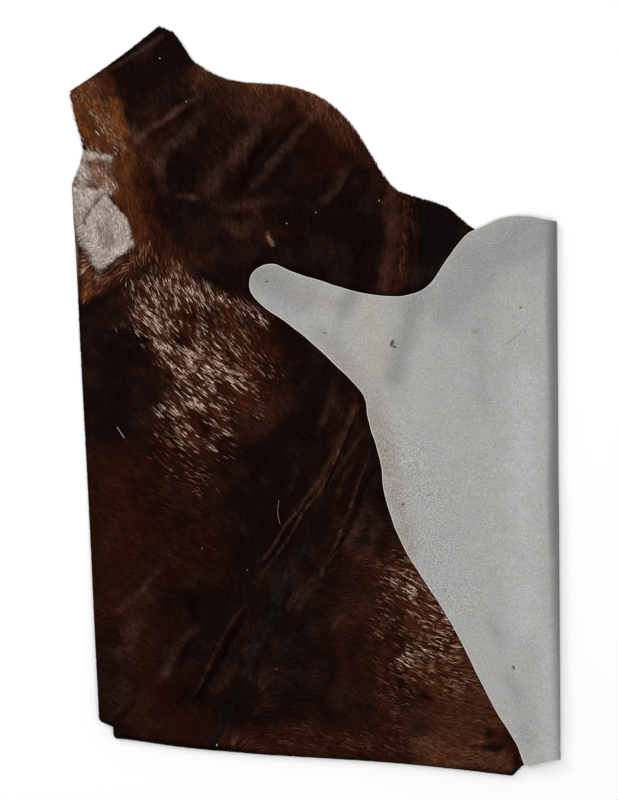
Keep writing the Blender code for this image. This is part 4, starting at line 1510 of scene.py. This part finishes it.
class COWHIDE_OT_make_hide(bpy.types.Operator):
    """Makes the folded leather sheet, coat side and suede side"""

    bl_idname = "cowhide.make_hide"
    bl_label = "Hide"

    def execute(self, context):
        settings = context.scene.cowhide_hide
        coat = context.scene.cowhide_coat
        bm = open_sheet(settings.unevenness)
        flat = np.array([vert.co[:2] for vert in bm.verts])
        mesh = mesh_from(bm, "hide_leather")
        spots = folded(flat, settings.relief)[0]
        mesh.vertices.foreach_set("co", spots.astype(np.float32).ravel())
        mesh.update()
        mesh.shade_smooth()
        write_attribute(mesh, PATTERN, np.column_stack([flat, np.zeros(len(flat))]))
        dark, pale, share = coat_look(flat, coat)
        tone = UNDERFUR_TONE * (dark + (pale - dark) * share[:, None])
        write_attribute(mesh, COAT, opaque(with_painted_sheen(tone, read(MARKS, flat)[:, 1], coat.glow)))
        write_attribute(mesh, SUEDE, opaque(suede_look(spots[:, :2], settings)))

        underfur = underfur_material()
        suede = suede_material()
        leather = settings.cut_edge
        shaded = [EDGE_DARKER * part for part in leather]
        edge = mottled_material("cut leather edge", 0.8, 0.2, EDGE_MOTTLE, shaded, leather)
        piece = add_piece("hide_leather", mesh, (underfur, suede, underfur, edge))
        solidify = piece.modifiers.new("leather", "SOLIDIFY")
        solidify.thickness = THICKNESS
        solidify.offset = 0.0
        solidify.use_even_offset = True
        solidify.material_offset = SLOT_STEP
        solidify.material_offset_rim = SLOT_STEP
        mesh = solid_mesh(piece)
        spread_out(mesh)
        middle = middle_of(mesh)
        mesh.transform(Matrix.Translation((-middle[0], -middle[1], 0.0)))
        piece["middle"] = middle.tolist()
        mark_suede(suede, settings, middle)
        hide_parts("hide")
        return {"FINISHED"}


# ---------------------------------------------------------------- the locks


def outer_turn(places):
    """How far a place of the coat is turned in the bends whose outside is coat."""
    place, left = fold_points(places, LEFT_FOLD)
    place, leg = fold_points(place, LEG_FOLD)
    front = fold_points(place, FRONT_FOLD)[1]
    return np.maximum(np.maximum(left, leg), front)


def has_hair(places):
    """Whether a lock grows there: on the coat that shows, and round the outside of its bends."""
    edges = read(EDGES, places)
    return (
        (edges[:, 0] < -ROOT_INSET)
        & (edges[:, 1] > -TUCK)
        & (outer_turn(places) < HAIR_TURN)
        & (past(places, FLAP_FOLD) < 0.0)
    )


def streak_noise(places, lay, length, width, seed):
    """Noise drawn out along the hair, about 1 either way."""
    total = np.zeros(len(places))
    for step in np.linspace(-0.5, 0.5, STREAK_STEPS):
        total += soft_noise(places + step * length * lay, width, seed)
    return total / total.std()


def points_and_normals(places, relief):
    """Where places on the open hide end up, and which way is out of the coat there."""
    spots = folded(places, relief)[0]
    by_x = folded(places + (SLOPE_STEP, 0.0), relief)[0] - spots
    by_y = folded(places + (0.0, SLOPE_STEP), relief)[0] - spots
    return spots, unit(np.cross(by_x, by_y))


def turned(ways, angles):
    """The ways, each turned to the left by its angle."""
    (x, y), along, side = ways.T, np.cos(angles), np.sin(angles)
    return np.stack([x * along - y * side, x * side + y * along], axis=1)


# The locks at their roots: lay, colours, and how pale, fine, furry and streaked each place is
Locks = namedtuple("Locks", "roots lay dark pale share bright fine fur streak clump ground")


def rooted_locks(coat, rng):
    """The places where locks grow, sparser in the dark coat, with their lay and colours."""
    grid = floor_grid(coat.spacing, FLOOR_HIGH)[0]
    roots = grid + rng.uniform(-0.5, 0.5, grid.shape) * coat.spacing
    roots = roots[has_hair(roots)]
    lay = lay_of(roots)
    dark, pale, share = coat_look(roots + SHOWN_PART * coat.length * lay, coat)
    bright = smooth_step(pale.mean(1) / PALE_HAIR)
    fine = smooth_step(bright * share / FINE_HAIR)
    kept = rng.random(len(roots)) < DARK_DENSITY + (1.0 - DARK_DENSITY) * fine
    roots, lay, dark, pale, share, bright, fine = (
        values[kept] for values in (roots, lay, dark, pale, share, bright, fine)
    )
    streaks = [streak_noise(roots, lay, *streaks) for streaks in (STREAKS, CLUMPS, GROUND)]
    fur = smooth_step(dark.mean(1) / PALE_FUR)
    own = (OWN_TURN + FUR_TURN * fur) * rng.normal(0.0, 1.0, len(roots))
    lay = turned(lay, np.radians(own + SWAY * soft_noise(roots, SWAY_SIZE, SWAY_SEED)))
    return Locks(roots, lay, dark, pale, share, bright, fine, fur, *streaks)


def lock_lengths(locks, full, rng):
    """Each lock's length: short in creases, on fur and round bends, and ending at the cut edge."""
    count = len(locks.roots)
    sheen = np.abs(read(MARKS, locks.roots)[:, 1])
    creased = smooth_step((sheen - CREASED_FROM) / CREASED_SPAN)
    length = full * rng.uniform(*LENGTHS, count) * (DARK_LENGTH + PALE_LENGTH * locks.bright)
    length = length * (1.0 - CREASE_LOSS * creased)
    length *= (1.0 - FUR_LOSS * locks.fur) * (1.0 + FINE_GAIN * locks.fine)
    edge = read(EDGES, locks.roots + length[:, None] * locks.lay)[:, 0]
    length -= np.maximum(edge - rng.uniform(*EDGE_OVERHANG, count), 0.0)
    round_bend = outer_turn(locks.roots + length[:, None] * locks.lay) > BEND_TURN
    length[round_bend] = np.minimum(length[round_bend], BEND_LENGTH * full)
    return np.maximum(length, LEAST_LENGTH)


def lock_paleness(locks, rng):
    """How pale each lock is, from 0 to 1, and how far the pale ones lie over the rest."""
    own = rng.normal(0.0, CHANCE_WEIGHT, len(locks.roots))
    chance = STREAK_WEIGHT * locks.streak + CLUMP_WEIGHT * locks.clump + own
    chance = 1.0 / (1.0 + np.exp(-CONTRAST * chance))
    few = 1.0 - (1.0 - locks.share) ** (1.0 / LOCKS_DEEP)
    paleness = smooth_step((PALE_END - chance / np.maximum(few, 0.001)) / PALE_SOFTNESS)
    above = TOP_LIFT * paleness * (1.0 - locks.share)
    crisp = BLENDED + (1.0 - BLENDED) * locks.bright
    blend = locks.share * (1.0 + BLENDED_STREAK * locks.streak).clip(*BLENDED_TONES)
    return crisp * paleness + (1.0 - crisp) * blend, above


def lock_corners(locks, length, paleness, above, coat, relief, rng):
    """The locks' corners, as locks x 5 x 3, and the creases' sheen at root, middle and tip."""
    count = len(locks.roots)
    roll = np.radians(rng.uniform(-MOST_ROLL, MOST_ROLL, count))
    lifts = (
        np.full(count, ROOT_LIFT),
        above + coat.lift * rng.uniform(*MIDDLE_LIFTS, count),
        above + coat.lift * rng.uniform(*TIP_LIFTS, count),
    )
    curl = np.tan(np.radians(rng.normal(0.0, CURL, count)))
    widths = coat.width * rng.uniform(*WIDTHS, count) * (DARK_WIDTH - FINE_NARROWER * locks.fine)
    widths = widths * (1.0 + PALE_WIDER * paleness * locks.fine)
    side_lay = turned(locks.lay, np.full(count, np.pi / 2))
    corners = np.zeros((count, LOCK_CORNERS, 3))
    sheens = []
    for station, (part, lift) in enumerate(zip((0.0, 0.5, 1.0), lifts)):
        place = locks.roots + (part * length)[:, None] * locks.lay
        place = place + (part * part * length * curl)[:, None] * side_lay
        sheens.append(read(MARKS, place)[:, 1])
        tucked = read(EDGES, place)[:, 1] < 0.0
        lift = np.where(tucked, np.minimum(lift, TUCKED_LIFT), lift)
        spots, normals = points_and_normals(place, relief)
        spots += (THICKNESS / 2 + lift)[:, None] * normals
        if station == 2:
            corners[:, 4] = spots
            continue
        ahead = folded(place + NEXT_PLACE * locks.lay, relief)[0] - folded(place, relief)[0]
        side = np.cross(normals, unit(ahead))
        side = side * np.cos(roll)[:, None] + normals * np.sin(roll)[:, None]
        half = (0.5 * widths * (ROOT_NARROWER if station == 0 else 1.0))[:, None]
        corners[:, 2 * station] = spots + half * side
        corners[:, 2 * station + 1] = spots - half * side
    corners[:, :, 2] = np.maximum(corners[:, :, 2], 0.0)
    return corners, sheens


def lock_colours(locks, paleness, sheens, glow, rng):
    """The colours at the corners of the locks, as locks x 5 x 3."""
    count = len(locks.roots)
    paleness = paleness[:, None]
    ground = GROUND_CLUMPS * locks.clump + GROUND_STREAKS * locks.ground + GROUND_LEVEL
    dark = locks.dark * np.exp(locks.bright * (1.0 - locks.fur) * ground)[:, None]
    tone = np.exp(np.log(dark) * (1.0 - paleness) + np.log(locks.pale) * paleness)
    uneven = TONE_CHANCE + PALE_CHANCE * locks.bright + FUR_CHANCE * locks.fur
    uneven = 1.0 + TONE_STREAKS * locks.streak + uneven * rng.normal(0.0, 1.0, count)
    tone = tone * uneven.clip(*TONES)[:, None]
    # Painted shade: darker hair close to the flap's edge and round the outside of the bends
    tuck = smooth_step(read(EDGES, locks.roots)[:, 1] / TUCK_SHADE_REACH)
    tone = tone * (TUCK_DARK + TUCK_LIGHT * tuck)[:, None]
    bent = smooth_step(outer_turn(locks.roots) / (0.5 * np.pi))
    tone = tone * (1.0 - BEND_SHADE * bent)[:, None]
    gleam = GLEAM + GLEAM_STREAKS * locks.streak + GLEAM_CHANCE * rng.normal(0.0, 1.0, count)
    gleam = gleam.clip(*GLEAMS)
    root, middle, tip = (
        with_painted_sheen(shade * tone, gleam * sheen, glow) for shade, sheen in zip(SHADES, sheens)
    )
    return np.stack([root, root, middle, middle, tip], axis=1)


def comb(coat, relief):
    """All the locks: their corners and the colours there, both as locks x 5 x 3."""
    rng = np.random.default_rng(coat.seed)
    locks = rooted_locks(coat, rng)
    length = lock_lengths(locks, coat.length, rng)
    locks = locks._replace(streak=locks.streak * (1.0 - FUR_CALM * locks.fur))
    paleness, above = lock_paleness(locks, rng)
    corners, sheens = lock_corners(locks, length, paleness, above, coat, relief, rng)
    return corners, lock_colours(locks, paleness, sheens, coat.glow, rng)


def lock_mesh(corners, colours):
    """A mesh of locks, each three triangles from root to tip."""
    count = len(corners)
    firsts = LOCK_CORNERS * np.arange(count)[:, None, None]
    corner_numbers = (np.array(LOCK_FACES)[None] + firsts).ravel()
    mesh = bpy.data.meshes.new("locks")
    mesh.vertices.add(LOCK_CORNERS * count)
    mesh.vertices.foreach_set("co", corners.astype(np.float32).ravel())
    mesh.loops.add(len(corner_numbers))
    mesh.loops.foreach_set("vertex_index", corner_numbers.astype(np.int32))
    mesh.polygons.add(len(LOCK_FACES) * count)
    starts = np.arange(0, len(corner_numbers), 3, dtype=np.int32)
    mesh.polygons.foreach_set("loop_start", starts)
    mesh.update(calc_edges=True)
    mesh.shade_smooth()
    write_attribute(mesh, COAT, opaque(colours.reshape(-1, 3)))
    a_row = int(np.ceil(np.sqrt(2.0 * count)))
    cell = np.stack([np.arange(count) % a_row, np.arange(count) // a_row], axis=1) / a_row
    shape = np.array(LOCK_CELL) / a_row
    spots = (cell * (1.0, 2.0))[:, None, :] + shape[None]
    write_uv(mesh, spots.reshape(-1, 2)[corner_numbers])
    mesh.validate()
    return mesh


class COWHIDE_OT_comb_coat(bpy.types.Operator):
    """Combs short hair over the parts of the coat that show"""

    bl_idname = "cowhide.comb_coat"
    bl_label = "Coat"

    def execute(self, context):
        coat = context.scene.cowhide_coat
        corners, colours = comb(coat, context.scene.cowhide_hide.relief)
        corners[:, :, :2] -= stored_middle()
        order = np.argsort(-corners[:, 0, 1], kind="stable")
        material = hair_material()
        for name, band in zip(COAT_BANDS, np.array_split(order, len(COAT_BANDS))):
            if len(LOCK_FACES) * len(band) > MOST_TRIANGLES:
                raise RuntimeError(f"{name} has too many locks: raise the spacing")
            add_piece(name, lock_mesh(corners[band], colours[band]), (material,))
        return {"FINISHED"}


class COWHIDE_OT_scatter_bits(bpy.types.Operator):
    """Lays the pale flakes, a stray hair and a thread on the coat"""

    bl_idname = "cowhide.scatter_bits"
    bl_label = "Loose bits"

    def execute(self, context):
        relief = context.scene.cowhide_hide.relief
        lift = THICKNESS / 2 + BITS_LIFT * context.scene.cowhide_coat.lift
        shift = np.array([*-stored_middle(), lift])
        bm = bmesh.new()
        for flake in FLAKES:
            spot = folded(np.array([(flake.x, flake.y)]), relief)[0][0] + shift
            turn = Matrix.Rotation(np.radians(flake.turn), 4, "Z")
            size = Matrix.Diagonal((flake.length, flake.width, FLAKE_THICKNESS, 1.0))
            matrix = Matrix.Translation(spot) @ turn @ size
            bmesh.ops.create_icosphere(bm, subdivisions=2, radius=0.5, matrix=matrix)
        material = mottled_material("pale flakes", 0.7, 0.3, FLAKE_MOTTLE, FLAKE_DARK, FLAKE_PALE)
        add_piece("pale_flakes", mesh_from(bm, "pale_flakes"), (material,))
        for path, width, name in STRANDS:
            spots = folded(rounded(path), relief)[0] + shift
            curve = bpy.data.curves.new(name, "CURVE")
            curve.dimensions = "3D"
            curve.bevel_depth = width / 2
            curve.bevel_resolution = 1
            curve.use_fill_caps = True
            spline = curve.splines.new("POLY")
            spline.points.add(len(spots) - 1)
            for point, spot in zip(spline.points, spots):
                point.co = (*spot, 1.0)
            strand = add_object(name, curve)
            bpy.context.view_layer.update()
            graph = bpy.context.evaluated_depsgraph_get()
            mesh = bpy.data.meshes.new_from_object(strand.evaluated_get(graph))
            bpy.data.objects.remove(strand)
            add_piece(name, mesh, (material,))
        return {"FINISHED"}


class COWHIDE_OT_set_studio(bpy.types.Operator):
    """Sets the floor, the lights and the camera"""

    bl_idname = "cowhide.set_studio"
    bl_label = "Studio"

    def execute(self, context):
        studio = context.scene.cowhide_studio
        bm = bmesh.new()
        bmesh.ops.create_grid(bm, x_segments=8, y_segments=8, size=studio.floor_size / 2)
        bmesh.ops.translate(bm, verts=bm.verts[:], vec=(0.0, 0.0, FLOOR_LEVEL))
        mesh = mesh_from(bm, "studio_floor")
        material, _, shader = new_material("pale floor", roughness=0.9, specular=0.1)
        shader.inputs["Base Color"].default_value = (*studio.floor, 1.0)
        mesh.materials.append(material)
        floor = add_object("studio_floor", mesh)

        for name, size, place in LAMPS:
            light = bpy.data.lights.new(name, "AREA")
            light.energy = getattr(studio, name)
            light.size = size
            lamp = add_object(name, light)
            lamp.location = place
            lamp.rotation_euler = Vector(place).to_track_quat("Z", "Y").to_euler()
            lamp.visible_camera = False

        world = bpy.data.worlds.new("studio")
        world.use_nodes = True
        background = world.node_tree.nodes["Background"].inputs
        background["Color"].default_value = (1.0, 1.0, 1.0, 1.0)
        background["Strength"].default_value = studio.sky
        context.scene.world = world
        context.scene.view_settings.view_transform = "Standard"

        lens = bpy.data.cameras.new("camera")
        lens.sensor_fit = "VERTICAL"
        lens.sensor_height = SENSOR
        lens.lens = SENSOR * studio.camera_height / studio.view_height
        camera = add_object("camera", lens)
        camera.location = (*(np.array(AIM) - stored_middle()), studio.camera_height)
        context.scene.camera = camera
        return {"FINISHED"}


OPERATORS = (
    COWHIDE_OT_make_hide, COWHIDE_OT_comb_coat, COWHIDE_OT_scatter_bits, COWHIDE_OT_set_studio
)


class COWHIDE_PT_pieces(bpy.types.Panel):
    """Lists what makes the rug"""

    bl_idname = "COWHIDE_PT_pieces"
    bl_label = "Cowhide rug"
    bl_space_type = "VIEW_3D"
    bl_region_type = "UI"
    bl_category = "Cowhide"

    def draw(self, context):
        for group, _ in GROUPS:
            settings = getattr(context.scene, group)
            for name in settings.bl_rna.properties.keys():
                if name not in ("rna_type", "name"):
                    self.layout.prop(settings, name)
        for operator in OPERATORS:
            self.layout.operator(operator.bl_idname)


GROUPS = (
    ("cowhide_hide", HideSettings),
    ("cowhide_coat", CoatSettings),
    ("cowhide_studio", StudioSettings),
)


def register():
    for name, group in GROUPS:
        bpy.utils.register_class(group)
        setattr(bpy.types.Scene, name, bpy.props.PointerProperty(type=group))
    for item in (*OPERATORS, COWHIDE_PT_pieces):
        bpy.utils.register_class(item)


def unregister():
    for item in (COWHIDE_PT_pieces, *reversed(OPERATORS)):
        bpy.utils.unregister_class(item)
    for name, group in reversed(GROUPS):
        delattr(bpy.types.Scene, name)
        bpy.utils.unregister_class(group)


def main():
    register()
    bpy.ops.cowhide.make_hide()
    bpy.ops.cowhide.comb_coat()
    bpy.ops.cowhide.scatter_bits()
    bpy.ops.cowhide.set_studio()


if __name__ == "__main__":
    main()
